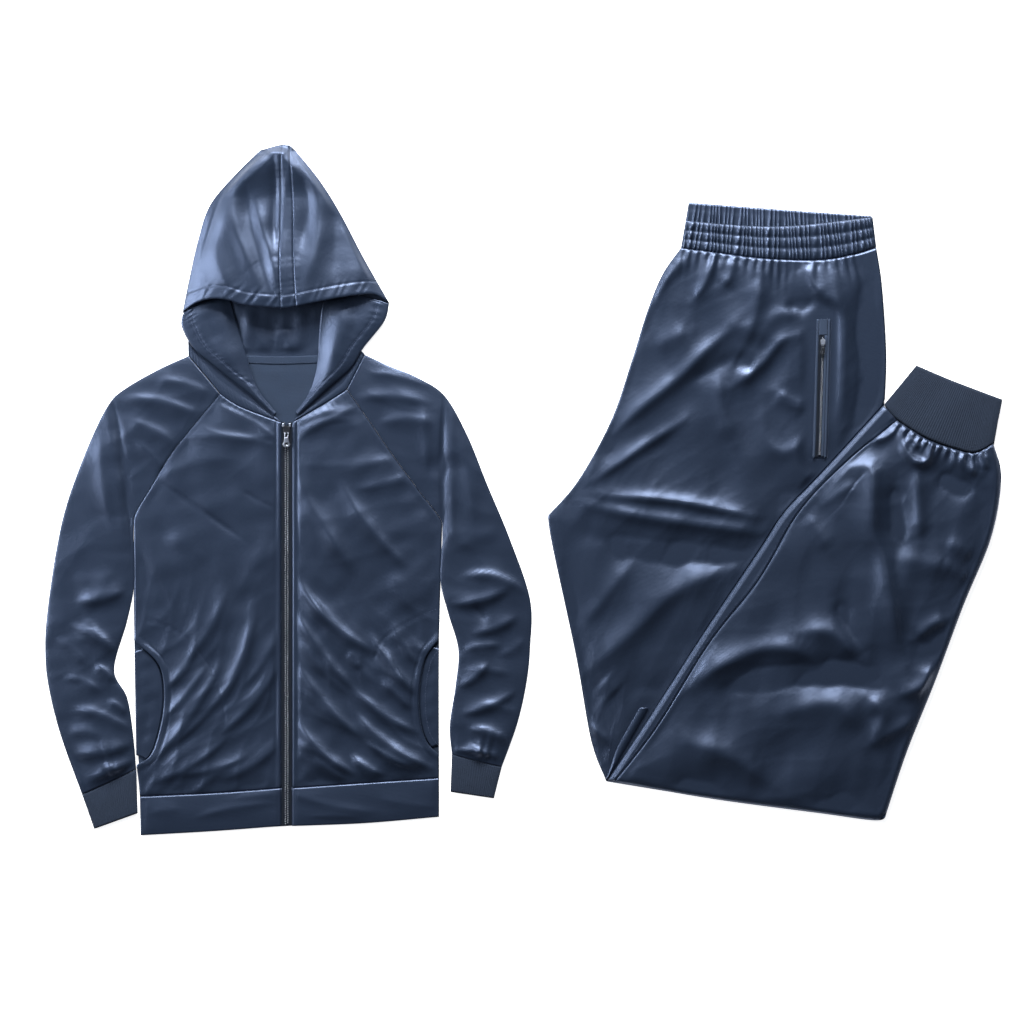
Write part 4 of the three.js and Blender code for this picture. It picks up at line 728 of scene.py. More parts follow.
def flat_tube(outer_fold, seam, t, upper, lower, top, rest, opened, thick):
    """Rings of a flattened tube that is cut along its seam. A ring runs from the seam over
    the top to the outer fold and back under: a = cos(turn), and its height rises from the
    fold's by (top - fold) * sin(turn)^0.6. Where opened is 1 the seam edges part."""
    k = np.arange(upper + lower + 1)
    above = k <= upper
    turn = np.where(above, math.pi * k / upper, math.pi * (1 + (k - upper) / lower))[None, :]
    a = np.cos(turn)
    arch = np.abs(np.sin(turn)) ** 0.6
    t = t[:, None]
    first, last = outer_fold(t), seam(t)
    half = np.linalg.norm(last - first, axis=-1) / 2
    parted = opened(t)
    inset = thick / half
    within_a = np.where(a > 0, a * (1 - inset * (1 - parted)), a * (1 - inset))
    point = first + (last - first) * ((1 + a) / 2)[..., None]
    within = first + (last - first) * ((1 + within_a) / 2)[..., None]
    seam_side = (a > 0).astype(float)
    joined = seam_side * parted
    gap = seam_side * LIE / 2
    high = top(point, a, t * np.ones_like(a))
    edge = mix(rest + TUBE_EDGE + gap, rest + FRONT_UNDER + WALL, joined)
    low = edge - thick * joined
    upper_out = edge + (high - edge) * arch
    upper_in = low + (high - thick - low) * arch
    sunk = np.maximum(0, 1 - 3 * np.abs(np.sin(turn)))
    edge_low = mix(rest + TUBE_EDGE - gap, rest, joined)
    lower_out = rest + (edge_low - rest) * sunk
    lower_in = rest + thick + (edge_low + thick * joined - rest - thick) * sunk
    outer = with_height(point, np.where(above[None, :], upper_out, lower_out))
    inner = with_height(within, np.where(above[None, :], upper_in, lower_in))
    return outer, inner


# Jacket body


def raglan(side):
    """The raglan seam, from the neck down to the armpit."""
    rows = np.array(side["sleeve"])[:, 2:4]
    whole = by_row(rows)
    share = ARMPIT_ROW / (len(rows) - 1)
    return lambda t: whole(np.asarray(t, float) * share)


def front_edges(side):
    """The four edges of a front panel; the outer one takes in the pocket mouth."""
    sign = side["sign"]
    outer = chain(
        (line(side["low_side"]), 2 / 28),
        (line(side["pocket"]), 8 / 28),
        (line(side["high_side"]), 7 / 28),
        (moved(backwards(raglan(side)), -sign * SEAM, 0), 11 / 28),
    )
    zip_x = sign * FRONT_EDGE
    return {
        "outer": outer,
        "zip": line([(zip_x, HEM_TOP_FRONT), (zip_x, ZIP_TOP / 2), (zip_x, ZIP_TOP)]),
        "neck": line([outer(np.array(1.0)), side["neck_middle"], (zip_x, ZIP_TOP)]),
        "hem": line(side["hem_seam"]),
    }


def front_top(side, form):
    """Height of a front panel: a flat puff, the tabled folds and uneven waves that die away
    at its edges, with a facing along the zip and the pocket mouth and stitched grooves."""
    edges = front_edges(side)
    outer_run = sampled(edges["outer"], 84)
    hem_run, neck_run = sampled(edges["hem"], 8), sampled(edges["neck"], 12)
    mouth_run, bag_run = sampled(line(side["pocket"]), 24), sampled(line(side["bag"]), 24)
    raglan_run = sampled(raglan(side), 16)
    seed, low_way, chest_way, low_fold = side["pulls"]

    def top(xy, *_):
        from_side, from_mouth = distance(xy, outer_run), distance(xy, mouth_run)
        from_zip = np.abs(xy[..., 0] - side["sign"] * FRONT_EDGE)
        from_hem, along_hem = nearest(xy, hem_run)
        from_neck, along_neck = nearest(xy, neck_run)
        from_raglan, along_raglan = nearest(xy, raglan_run)
        from_bag, along_bag = nearest(xy, bag_run)
        from_ends = np.minimum(from_hem, from_neck)
        inside = np.minimum.reduce([from_side, from_zip, from_ends])
        free = ease(0, 12, from_side) * ease(2, 13, from_zip) * ease(0, 8, from_ends)
        z = FRONT_UNDER + WALL + 1.6 * ease(0, 30, inside)
        z += 1.4 * np.exp(-((from_mouth / 12) ** 2))
        strength = form.fold * mix(low_fold, 0.75, ease(400, 500, xy[..., 1]))
        z += np.maximum(-0.8, strength * fold_height(side["folds"], xy, 1.4)) * free
        low = 1 - ease(230, 400, xy[..., 1])
        pulls = streaks(xy, seed, low_way, 50, 1.2, 0.15) * low
        pulls += streaks(xy, seed + 40, chest_way, 90, 0.6, 0.15) * (1 - low)
        waves = undulation(xy, seed, 90, 0.5) + undulation(xy, seed + 60, 38, 0.26)
        z += form.ripple * (pulls + waves) * free
        z += 0.9 * np.exp(-(((from_zip - 3.0) / 2.6) ** 4)) + groove(from_zip, 6.6, 1.1, 0.9)
        z += 0.5 * np.exp(-(((from_mouth - 4) / 4) ** 4)) + groove(from_mouth, 9.2, 1.1, 0.8)
        z += sewn(from_bag, along_bag, 1.2, 0.9, 7, 5, 0.22)
        z += sewn(from_raglan, along_raglan, 1.8, 1.1, 8, 7, 0.22)
        z += sewn(from_neck, along_neck, 1.6, 0.9, 9, 8, 0.3)
        z += sewn(from_hem, along_hem, 1.6, 0.9, 11, 8, 0.25)
        return np.maximum(z, FRONT_UNDER + 0.9)

    return top


def make_fronts(form, finish):
    for name, side in SIDES.items():
        edges = front_edges(side)
        make_front(name, side, edges, form, finish)
        make_pocket_bag(name, side, finish)
        make_hem_band(name, side, edges["hem"], form, finish)


def make_front(name, side, edges, form, finish):
    place = patch(edges["outer"], edges["zip"], edges["hem"], edges["neck"])
    laid_sheet(
        f"front_{name}", (76, 180), place, front_top(side, form), JACKET_AT, finish["satin"],
        "jacket_back_cloth", cut="front", under=FRONT_CLEAR,
    )


def make_pocket_bag(name, side, finish):
    """The bag that shows in the pocket mouth, between the mouth and the body's edge."""
    mouth = moved(line(side["pocket"]), side["sign"] * 1.6, 0)
    back = join(side["pocket"][0], side["high_side"][0])

    def place(u, v):
        t = mix(0.08, 0.92, v)
        return mix(back(t), mouth(t), u[..., None])

    def top(xy, u, v):
        return 3.0 + 0.5 * np.sin(math.pi * u) * undulation(xy, 31, 30, 1.0) * ease(0, 0.2, v)

    laid_sheet(
        f"pocket_{name}", (18, 48), place, top, JACKET_AT, finish["satin"],
        "jacket_back_cloth", "matte_inside", thick=1.2, under=FRONT_CLEAR,
    )


def make_hem_band(name, side, hem_seam, form, finish):
    """A front's hem band, rounded across its width by 1.4 sin(pi v)^0.7."""
    seam = moved(hem_seam, 0, -SEAM)
    end = seam(np.array(1.0))
    place = patch(
        join(side["hem"][0], seam(np.array(0.0))),
        join((end[0], 0), end),
        line([side["hem"][0], side["hem"][1], (end[0], 0)]),
        seam,
    )

    def top(xy, u, v):
        roll = 1.4 * np.sin(math.pi * v) ** 0.7 * ease(0, 0.06, u) * ease(0, 0.04, 1 - u)
        folds = fold_height(side["band_folds"], xy) * ease(0, 0.25, v) * ease(0, 0.2, 1 - v)
        waves = undulation(xy, 41, 50, 0.25, (2.2, 0.8)) * roll
        return FRONT_UNDER + WALL + roll + form.fold * folds + waves

    laid_sheet(
        f"hem_band_{name}", (84, 26), place, top, JACKET_AT, finish["satin"],
        "hem_band_back_cloth", cut="hem_band", under=EDGE_CLEAR,
    )


def make_back(finish):
    left, right = SIDES["left"], SIDES["right"]

    def edge(side):
        sign = side["sign"]
        inward = -sign * 2 * SEAM
        neck = side["sleeve"][0]
        return chain(
            (line([side["hem_seam"][0], side["high_side"][0], side["high_side"][-1]]), 9 / 15),
            (moved(backwards(raglan(side)), inward, 0), 4 / 15),
            (join((neck[2] + inward, neck[3]), (sign * NECK_BACK[0], NECK_BACK[1])), 2 / 15),
        )

    hem_seam = line([left["hem_seam"][0], (0, HEM_TOP_BACK), right["hem_seam"][0]])
    neck = line([(-NECK_BACK[0], NECK_BACK[1]), (0, NECK_BACK[1] - 2), NECK_BACK])
    place = patch(edge(left), edge(right), hem_seam, neck)

    xy = place(*grid(48, 90))
    shown = ease(578, 606, xy[..., 1]) * (1 - ease(634, 648, xy[..., 1]))
    shown *= ease(0, 30, 52 - np.abs(xy[..., 0]))
    top = WALL + shown * (0.35 + undulation(xy, 51, 60, 0.3))
    outer, inner = with_height(xy, top), with_height(xy, 0.0)
    piece = cloth_wall("jacket_back_cloth", outer, inner, JACKET_AT, finish["inside"])
    dress(piece, ["jacket_back"], "matte_inside", **CUTS["back"], rests_on=["floor"])

    band = patch(
        join(left["hem"][0], (left["hem_seam"][0][0], left["hem_seam"][0][1] - SEAM)),
        join(right["hem"][0], (right["hem_seam"][0][0], right["hem_seam"][0][1] - SEAM)),
        line([left["hem"][0], (0, 0), right["hem"][0]]),
        moved(hem_seam, 0, -SEAM),
    )
    flat = lambda xy, u, v: WALL - 0.25 * (1 - np.sin(math.pi * v) ** 0.3)
    laid_sheet(
        "hem_band_back", (60, 12), band, flat, JACKET_AT, finish["satin"],
        "floor", cut="hem_back", under=0.0,
    )


# Sleeves


def sleeve_top(side, form):
    """Height of a sleeve: flattened, fuller above its cuff, with the tabled folds, pleats
    at the cuff seam and a groove along the raglan seam."""
    raglan_run = sampled(raglan(side), 16)
    armpit = ARMPIT_ROW / (len(side["sleeve"]) - 1)
    seed = 13 if side["sign"] < 0 else 14

    def top(xy, a, t):
        from_raglan, along = nearest(xy, raglan_run)
        free = ease(0, 0.06, t) * (1 - ease(0.97, 1, t))
        full = 1.2 * ease(armpit, armpit + 0.1, t) * (1 - ease(0.96, 1, t))
        full += 2.4 * np.exp(-(((t - 0.94) / 0.05) ** 2)) * (1 - a**2)
        folds = 1.2 * form.fold * fold_height(side["sleeve_folds"], xy, 1.5)
        waves = undulation(xy, seed, 70, 0.5, (1.2, 1.2))
        waves += undulation(xy, seed + 60, 36, 0.3, (1.5, 0.9))
        folds += form.ripple * waves
        folds += form.ripple * streaks(xy, seed + 20, -0.25 * side["sign"], 60, 0.7, 0.4)
        pleats = ease(0.91, 0.985, t) * (1 - ease(0.988, 1, t))
        folds += 1.1 * pleats * np.sin(13 * a + 2.2 * np.sin(5 * a + side["sign"])) * (1 - a**4)
        z = SLEEVE_HIGH + full + folds * free
        z += sewn(from_raglan, along, 1.8, 1.1, 8, 7, 0.22)
        return np.maximum(z, SLEEVE_HIGH - 1.2)

    return top


def make_sleeves(form, finish):
    for name, side in SIDES.items():
        rows = np.array(side["sleeve"], float)
        armpit = ARMPIT_ROW / (len(rows) - 1)
        t = grid(2, 176)[1][:, 0]
        opened = lambda t: 1 - ease(armpit, armpit + 0.05, t)
        top = sleeve_top(side, form)
        upper, lower = ((60, 14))
        inner, beside = by_row(rows[:, 2:4]), abs(rows[ARMPIT_ROW, 2]) - 0.1

        def seam(t, inner=inner, beside=beside, sign=side["sign"]):
            point = inner(t)
            near = (t > armpit) & (t < (ARMPIT_ROW + 2) / (len(rows) - 1))
            point[..., 0] = np.where(near, sign * np.minimum(np.abs(point[..., 0]), beside), point[..., 0])
            return point

        tube = flat_tube(by_row(rows[:, :2]), seam, t, upper, lower, top, 0.0, opened, WALL)
        piece = cloth_wall(f"sleeve_{name}_cloth", *tube, JACKET_AT, finish["satin"])
        dress(piece, [f"sleeve_{name}"], "satin_cloth", **CUTS[f"sleeve_{name}"], rests_on=["floor"])

        first, last = rows[-1].reshape(2, 2), np.array(side["cuff_end"], float).reshape(2, 2)
        gap = SEAM / np.linalg.norm(first[0] - last[0])
        folds = [join(mix(first[k], last[k], gap), last[k]) for k in range(2)]
        make_cuff(f"cuff_{name}", folds, CUFF_HIGH, 0.0, JACKET_AT, form, finish, CUTS["cuff"], ["floor"])


def make_cuff(node, folds, high, rest, at, form, finish, cut, rests_on):
    """A knitted cuff: a flattened tube whose top carries rows of fine ribs."""
    width = float(np.linalg.norm(folds[0](np.array(0.5)) - folds[1](np.array(0.5))))

    def top(xy, a, t):
        across = np.arcsin(np.clip(a, -1, 1)) / math.pi * width * 1.35
        rib = np.cos(2 * math.pi * across / form.rib_pitch)
        bulge = 0.7 * np.sin(math.pi * t) ** 0.8
        seam = 0.5 * np.exp(-((t / 0.05) ** 2)) + 0.5 * np.exp(-(((1 - t) / 0.04) ** 2))
        return high - 0.7 + bulge + 0.26 * rib * (1 - seam) - 0.4 * seam

    ribs = int(width * 1.35 / form.rib_pitch)
    t = np.linspace(0, 1, 20)
    tube = flat_tube(folds[0], folds[1], t, ribs * 5, ribs, top, rest, closed, RIB_WALL)
    piece = cloth_wall(f"{node}_knit", *tube, at, finish["rib"])
    dress(piece, [node], "rib_knit", **cut, rests_on=rests_on)


# Hood


def make_hood(form, finish):
    make_lining(form, finish)
    make_neck_tape(finish)
    for name, rows in HOOD_SIDES.items():
        flap = make_hood_side(name, rows, form, finish)
        make_hood_foot(name, flap, HOOD_FOOT_ROW[name] / (len(rows) - 1), finish)
    make_crown(form, finish)


def make_lining(form, finish):
    """The hood's back, whose inside shows in the hood's mouth with its folds and its seam."""
    neck_x, neck_y = NECK_BACK[0], NECK_BACK[1] + 1
    place = patch(
        chain((line([(-neck_x, neck_y), (-120, 690), (-146, 722)]), 0.3), (line(HOOD_OUTLINE["left"]), 0.7)),
        chain((line([(neck_x, neck_y), (118, 690), (143, 735)]), 0.3), (line(HOOD_OUTLINE["right"]), 0.7)),
        line([(-neck_x, neck_y), (0, neck_y - 1.8), (neck_x, neck_y)]),
        line([(-37, 949), (-5, 957), (12, 949)]),
    )

    def top(xy, *_):
        shown = ease(662, 672, xy[..., 1]) * (1 - ease(735, 760, xy[..., 1]))
        shown *= ease(0, 14, 74 - np.abs(xy[..., 0] + 12))
        folds = form.fold * ridges(HOOD_LINING_FOLDS, xy)
        folds += form.ripple * undulation(xy, 61, 36, 0.5, (0.8, 1.4))
        seam = np.abs(xy[..., 0] + 18 - 0.06 * (xy[..., 1] - 690))
        return WALL + np.maximum(-0.2, folds + groove(seam, 0, 1.4, 0.8)) * shown

    laid_sheet("hood_back", (70, 90), place, top, JACKET_AT, finish["satin"], "floor", under=0.0)


def make_neck_tape(finish):
    place = patch(
        join((-61, 650), (-62, 661)),
        join((44, 650), (45, 661)),
        line([(-61, 650), (-9, 648.2), (44, 650)]),
        line([(-62, 661), (-9, 659.4), (45, 661)]),
    )

    def top(xy, u, v):
        return NECK_TAPE["high"] + 0.25 * np.sin(math.pi * v) ** 0.6 + undulation(xy, 62, 30, 0.06)

    thick, clear = NECK_TAPE["thick"], NECK_TAPE["clear"]
    piece = sheet_wall("neck_tape", 60, 8, place, top, JACKET_AT, finish["inside"], thick, clear)
    dress(piece, [], "satin_cloth", **CUTS["neck_tape"], rests_on=["jacket_back_cloth"])


def make_hood_side(name, rows, form, finish):
    """The turned flap beside the face, with its stitched hem. Gives its place(s, t) in plan,
    where s runs from the hem to the fold and t from the zip to the brim."""
    table = np.array(rows, float)
    edge, fold = by_row(table[:, 0:2]), by_row(table[:, 2:4])
    bow, high = by_row(table[:, 4:5]), by_row(table[:, 5:6])

    def flap(s, t):
        point = mix(edge(t), fold(t), s[..., None])
        point[..., 1] += bow(t)[..., 0] * 4 * s * (1 - s)
        return point

    def flap_top(xy, s, t):
        z = mix(HOOD_FLAP_EDGE, HOOD_FLAP_FOLD, ease(0.5, 1, s))
        z += high(t)[..., 0] * np.sin(math.pi * s)
        from_edge = s * np.linalg.norm(edge(t) - fold(t), axis=-1)
        along = t * 190
        z += 0.5 * (1 - ease(15, 18, from_edge)) * ease(0, 0.25, t)
        z += groove(from_edge, 16.0, 2.2, 0.7) * ease(0.12, 0.3, t)
        z += puckers(from_edge - 16, along, 9, 7, 0.45) * ease(0.12, 0.3, t)
        folds = form.fold * ridges(HOOD_FLAP_FOLDS, xy) + form.ripple * undulation(xy, 63, 40, 0.35)
        z += folds * np.sin(math.pi * s)
        return z - 0.7 * np.exp(-((from_edge / 1.2) ** 2))

    laid_sheet(
        f"hood_side_{name}", (40, 100), flap, flap_top, JACKET_AT, finish["satin"],
        f"hood_foot_{name}_cloth", cut="hood_side",
    )

    t = np.linspace(0.2, 0.95, 200)
    wide = np.linalg.norm(edge(t) - fold(t), axis=-1)
    hem_rows = []
    for away in HOOD_HEM_STITCHES:
        s = np.minimum(0.9, away / wide)
        xy = flap(s, t)
        hem_rows.append(with_height(xy, flap_top(xy, s, t)))
    stitch_rows(f"hood_side_{name}_stitches", hem_rows, form, JACKET_AT, finish)
    return flap


def make_hood_foot(name, flap, reach, finish):
    """The strip between the neck seam and the flap, which it meets up to the share reach."""
    side = SIDES[name]
    sleeve = side["sleeve"][0]
    shoulder = moved(join(sleeve[2:4], sleeve[0:2]), -0.1 * side["sign"], 0.15)
    neck_run = chain((moved(backwards(front_edges(side)["neck"]), 0, 0.15), 0.62), (shoulder, 0.38))

    def place(s, t):
        under = flap(np.full_like(t, 0.12), np.maximum(0.02, t * reach))
        return mix(neck_run(t), under, s[..., None])

    def top(xy, s, t):
        roll = 0.5 * np.sin(math.pi * np.clip(s * 2, 0, 1)) - 0.5 * np.exp(-((s / 0.05) ** 2))
        return FRONT_UNDER + WALL + roll + puckers(s * 20, t * 210, 9, 9, 0.35) * ease(0, 0.1, s)

    laid_sheet(
        f"hood_foot_{name}", (26, 110), place, top, JACKET_AT, finish["satin"],
        "jacket_back_cloth", "matte_inside", under=EDGE_CLEAR,
    )


def crown_top(form):
    """Height of the hood: HOOD_RISE * (1 - exp(-d / 30)), less towards its tip, where a small
    dome stands, with deep folds, a turned hem along the brim and a groove at both seams."""
    outlines = [sampled(line(rows), 24) for rows in HOOD_OUTLINE.values()]
    seams = [sampled(line(rows), 12) for rows in HOOD_SEAMS.values()]
    brim_run = sampled(BRIM_LINE, 60)

    def top(xy, *_):
        inside = np.minimum(distance(xy, outlines[0]), distance(xy, outlines[1]))
        upward = np.clip((xy[..., 1] - 730) / 225, 0, 1)
        rise = HOOD_RISE * (1 - np.exp(-inside / 30)) * mix(1.25, 0.4, ease(0, 0.75, upward))
        rise += 11 * ease(880, 936, xy[..., 1]) * ease(0, 20, inside) * (1 - ease(942, 956, xy[..., 1]))
        free = ease(0, 10, inside) * (1 - ease(935, 954, xy[..., 1]))
        from_brim, along = nearest(xy, brim_run)
        folds = form.fold * ridges(HOOD_FOLDS, xy) * free
        waves = undulation(xy, 71, 90, 0.5, (0.8, 1.4)) + undulation(xy, 73, 34, 0.22, (0.8, 1.6))
        folds += form.ripple * waves * free * ease(4, 20, from_brim)
        z = FRONT_UNDER + WALL + rise + folds
        z += 0.5 * (1 - ease(15.5, 19.5, from_brim)) + groove(from_brim, HEM_STITCH, 1.2, 0.6)
        centre = np.exp(-(((xy[..., 0] + 34) / 34) ** 2)) + np.exp(-(((xy[..., 0] - 56) / 44) ** 2))
        slanted = along - 0.6 * from_brim
        z += puckers(from_brim - 12, slanted, 15, 10, 0.25 + 1.1 * centre) * ease(0, 20, inside)
        z -= 1.0 * np.exp(-((from_brim / 1.6) ** 2))
        for run in seams:
            from_seam, along_seam = nearest(xy, run)
            z += sewn(from_seam, along_seam, 1.7, 1.0, 11, 7, 0.16)
        return np.maximum(z, FRONT_UNDER + 1.0)

    return top


def make_crown(form, finish):
    left, right = line(HOOD_SEAMS["left"]), line(HOOD_SEAMS["right"])
    parts = {
        "hood_crown_left": (84, line(HOOD_OUTLINE["left"]), left, line(BRIM["left"])),
        "hood_strip": (22, moved(left, SEAM, 0), moved(right, -SEAM, 0), line(BRIM["middle"])),
        "hood_crown_right": (84, line(HOOD_OUTLINE["right"]), moved(right, SEAM, 0), line(BRIM["right"])),
    }
    top = crown_top(form)
    for node, (across, west, east, south) in parts.items():
        north = join(west(np.array(1.0)), east(np.array(1.0)))
        place = patch(west, east, south, north)
        laid_sheet(node, (across, 140), place, top, JACKET_AT, finish["satin"], "hood_back_cloth")


# Zips


def box_corners(size, taper):
    """The eight corners of a block about the origin, its top face narrowed to taper."""
    x, y, z = np.array(size) / 2
    low = np.array([(-x, -y, -z), (x, -y, -z), (x, y, -z), (-x, y, -z)])
    return np.concatenate([low, low * np.array([taper, taper, -1])])


BOX_FACES = np.array([(0, 3, 2, 1), (4, 5, 6, 7), (0, 1, 5, 4), (1, 2, 6, 5), (2, 3, 7, 6), (3, 0, 4, 7)])


def copies(corners, faces, places, ways):
    """Copies of one small form: each turned so that its x runs along its unit way in plan."""
    along = np.concatenate([ways[:, :2], np.zeros((len(ways), 1))], 1)
    across = np.stack([-ways[:, 1], ways[:, 0], np.zeros(len(ways))], 1)
    form = corners[None]
    points = places[:, None] + form[..., :1] * along[:, None] + form[..., 1:2] * across[:, None]
    points[..., 2] += form[..., 2]
    steps = np.arange(len(places))[:, None, None] * len(corners)
    return points.reshape(-1, 3), (faces[None] + steps).reshape(-1, faces.shape[1])


def zip_teeth(name, path, teeth, pitch, level, at, finish):
    """Two rows of tapered teeth on either side of a path, half a pitch out of step, with
    their middles at level(point)."""
    run = sampled(path, 400)
    steps = np.append(0, np.cumsum(np.linalg.norm(np.diff(run[:, :2], axis=0), axis=1)))
    centres, ways = [], []
    for sign in (-1, 1):
        wanted = np.arange(pitch * (1 if sign < 0 else 1.5), steps[-1] - pitch, pitch)
        point = np.stack([np.interp(wanted, steps, run[:, k]) for k in range(2)], -1)
        way = (run[-1, :2] - run[0, :2]) / np.linalg.norm(run[-1, :2] - run[0, :2])
        side = np.array([way[1], -way[0]])
        centres.append(with_height(point + side * sign * teeth["half"], level(point)))
        ways.append(np.tile(side * -sign, (len(point), 1)))
    tooth = box_corners(teeth["size"], 0.72)
    points, faces = copies(tooth, BOX_FACES, np.concatenate(centres), np.concatenate(ways))
    return mesh_piece(name, in_frame(points, at), [faces], finish)


def metal_piece(name, node, width, material, body):
    """A copy of a solid with its flat faces merged and every edge rounded by a bevel."""
    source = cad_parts[node]
    form = bmesh.new()
    form.from_mesh(source.data)
    bmesh.ops.remove_doubles(form, verts=form.verts, dist=1e-6)
    bmesh.ops.dissolve_limit(form, angle_limit=math.radians(2), verts=form.verts, edges=form.edges)
    bmesh.ops.recalc_face_normals(form, faces=form.faces)
    mesh = bpy.data.meshes.new(name)
    form.to_mesh(mesh)
    form.free()
    mesh.materials.clear()
    mesh.materials.append(material)
    piece = bpy.data.objects.new(name, mesh)
    bpy.context.scene.collection.objects.link(piece)
    bevel = piece.modifiers.new("rounded edges", "BEVEL")
    bevel.width, bevel.segments, bevel.limit_method = width * MM, 3, "ANGLE"
    bevel.angle_limit = math.radians(30)
    bevel.harden_normals = True
    mesh.polygons.foreach_set("use_smooth", np.ones(len(mesh.polygons), bool))
    dress(piece, [node], "zip_metal", body=body)


def block(name, spans, bevel, at, material):
    """A plain block with rounded edges: spans gives its low and high x, y and z."""
    spans = np.array(spans, float)
    points = box_corners(spans[:, 1] - spans[:, 0], 1.0) + spans.mean(1)
    piece = mesh_piece(name, in_frame(points, at), [BOX_FACES], material)
    edges = piece.modifiers.new("rounded edges", "BEVEL")
    edges.width, edges.segments = bevel * MM, 3
    edges.harden_normals = True
    return piece


def give_finish(node, material):
    """A solid that shows as it is, in a finish of the scene."""
    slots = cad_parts[node].data.materials
    slots.clear()
    slots.append(material)


def make_front_zip(form, finish):
    give_finish("zip_tape_left", finish["tape"])
    give_finish("zip_tape_right", finish["tape"])
    level = lambda point: np.full(len(point), FRONT_TEETH_LEVEL)
    path = join((0, 1), (0, 562))
    piece = zip_teeth(
        "zip_chain_teeth", path, FRONT_TEETH, form.tooth_pitch, level, JACKET_AT, finish["metal"]
    )
    dress(piece, ["zip_chain"], "zip_metal")
    core = block(
        "zip_chain_core", [(-1.7, 1.7), (0.5, 563.5), (2.3, 3.1)], 0.3, JACKET_AT, finish["tape"]
    )
    dress(core, [], "zip_tape")
    for name, sign in (("left", -1), ("right", 1)):
        x, half = sign * ZIP_STOP["x"], ZIP_STOP["half"]
        spans = [(x - half, x + half), ZIP_STOP["y"], ZIP_STOP["z"]]
        stop = block(f"zip_stop_{name}", spans, 0.4, JACKET_AT, finish["pull"])
        dress(stop, [], "zip_metal")
    metal_piece("zip_slider_metal", "zip_slider", 0.3, finish["slider"], CLOTH_BODY)
    metal_piece("zip_pull_metal", "zip_pull", 0.3, finish["pull"], "front_pull")


# Joggers legs


LEG_WEST = chain((backwards(line(LEG["inseam"])), 0.46), (backwards(line(LEG["rise"])), 0.54))
LEG_EAST = chain(
    (moved(line(LEG["band_outer"]), -SEAM, 0.3), 0.75), (backwards(line(LEG["outseam"])), 0.25)
)
LEG_RUNS = [sampled(LEG_WEST, 48), sampled(LEG_EAST, 40), sampled(line(WAIST_LINES["seam"]), 20)]
FOLDED_RUNS = [sampled(line(LEG[key]), 28) for key in ("band_outer", "knee", "folded_side")]
ANKLE_RUN = sampled(line(LEG["ankle"]), 24)
BAND_RUN = sampled(line(LEG["band_inner"]), 40)
POCKET_RUN = np.array([POCKET_TOP + (0.6, 22), POCKET_LOW])


def smooth_leg(xy):
    """The leg's height without folds or puckers, as the solid has it beside the zip."""
    inside = np.minimum.reduce([distance(xy, run) for run in LEG_RUNS])
    return LEG_UNDER + WALL + 3 * ease(0, 40, inside)


def leg_top(form):
    """Height of the upper leg: a flat puff that dies away at its edges, the tabled folds,
    the pleats that fan from the waistband, and uneven waves."""

    def top(xy, *_):
        from_west, along_west = nearest(xy, LEG_RUNS[0])
        from_east = distance(xy, LEG_RUNS[1])
        from_waist, along_waist = nearest(xy, LEG_RUNS[2])
        inside = np.minimum.reduce([from_west, from_east, from_waist])
        clear = ease(16, 34, distance(xy, POCKET_RUN)) * ease(14, 34, distance(xy, STRIP_RUN))
        free = ease(0, 10, from_west) * ease(0, 12, from_east) * clear
        z = LEG_UNDER + WALL + 3 * ease(0, 40, inside)
        folds = np.maximum(-3.0, 1.45 * form.fold * ridges(LEG_FOLDS, xy, 0.95))
        folds *= ease(0, 6, from_waist)
        fan = 1.7 * np.cos(2 * math.pi * (along_waist + 3 * np.sin(along_waist / 21)) / 12.5)
        reach = 19 + 6 * np.sin(along_waist / 17) + 4 * np.sin(along_waist / 7.3 + 1)
        folds += fan * np.exp(-((from_waist / reach) ** 2)) * ease(0, 3, from_waist)
        folds += form.ripple * undulation(xy, 81, 85, 1.1, (0.9, 1.4))
        folds += form.ripple * (streaks(xy, 82, 0.9, 120, 0.7, 0.3) + streaks(xy, 84, 1.15, 55, 0.45, 0.45))
        folds += form.ripple * undulation(xy, 83, 42, 0.25, (0.8, 1.5))
        z += folds * free
        z += sewn(from_west, along_west, 1.8, 1.0, 11, 9, 0.3)
        z += groove(from_waist, 0, 1.4, 0.8)
        return np.maximum(z, LEG_UNDER + 1.0)

    return top


def folded_top(form):
    """Height of the part folded up at the knee; its sides turn down over the layers below."""

    def top(xy, *_):
        away = [distance(xy, run) for run in FOLDED_RUNS]
        inside = np.minimum.reduce(away)
        under = mix(FOLDED_EDGE, FOLDED_UNDER, np.sqrt(np.clip(inside / 7, 0, 1)))
        free = ease(3, 16, inside) * ease(15, 26, away[0])
        folds = np.maximum(-3.0, 1.6 * form.fold * ridges(FOLDED_FOLDS, xy, 0.95))
        folds += form.ripple * undulation(xy, 91, 80, 1.2, (0.9, 1.3))
        folds += form.ripple * (streaks(xy, 92, 0.5, 130, 0.6, 0.4) + streaks(xy, 94, 1.0, 60, 0.45, 0.5))
        folds += form.ripple * undulation(xy, 93, 42, 0.25, (0.8, 1.5))
        ankle, along = nearest(xy, ANKLE_RUN)
        pleats = 1.6 * np.cos(2 * math.pi * (along + 2 * np.sin(along / 13)) / 11)
        folds += pleats * np.exp(-((ankle / 15) ** 2))
        from_band, along_band = nearest(xy, BAND_RUN)
        z = under + WALL + 3.4 * ease(6, 60, inside) + folds * free * ease(0, 3, ankle)
        z += sewn(from_band, along_band, 1.7, 1.2, 10, 8, 0.3)
        z += groove(ankle, 0, 1.5, 0.9)
        return np.maximum(z, under + 1.0)

    return top


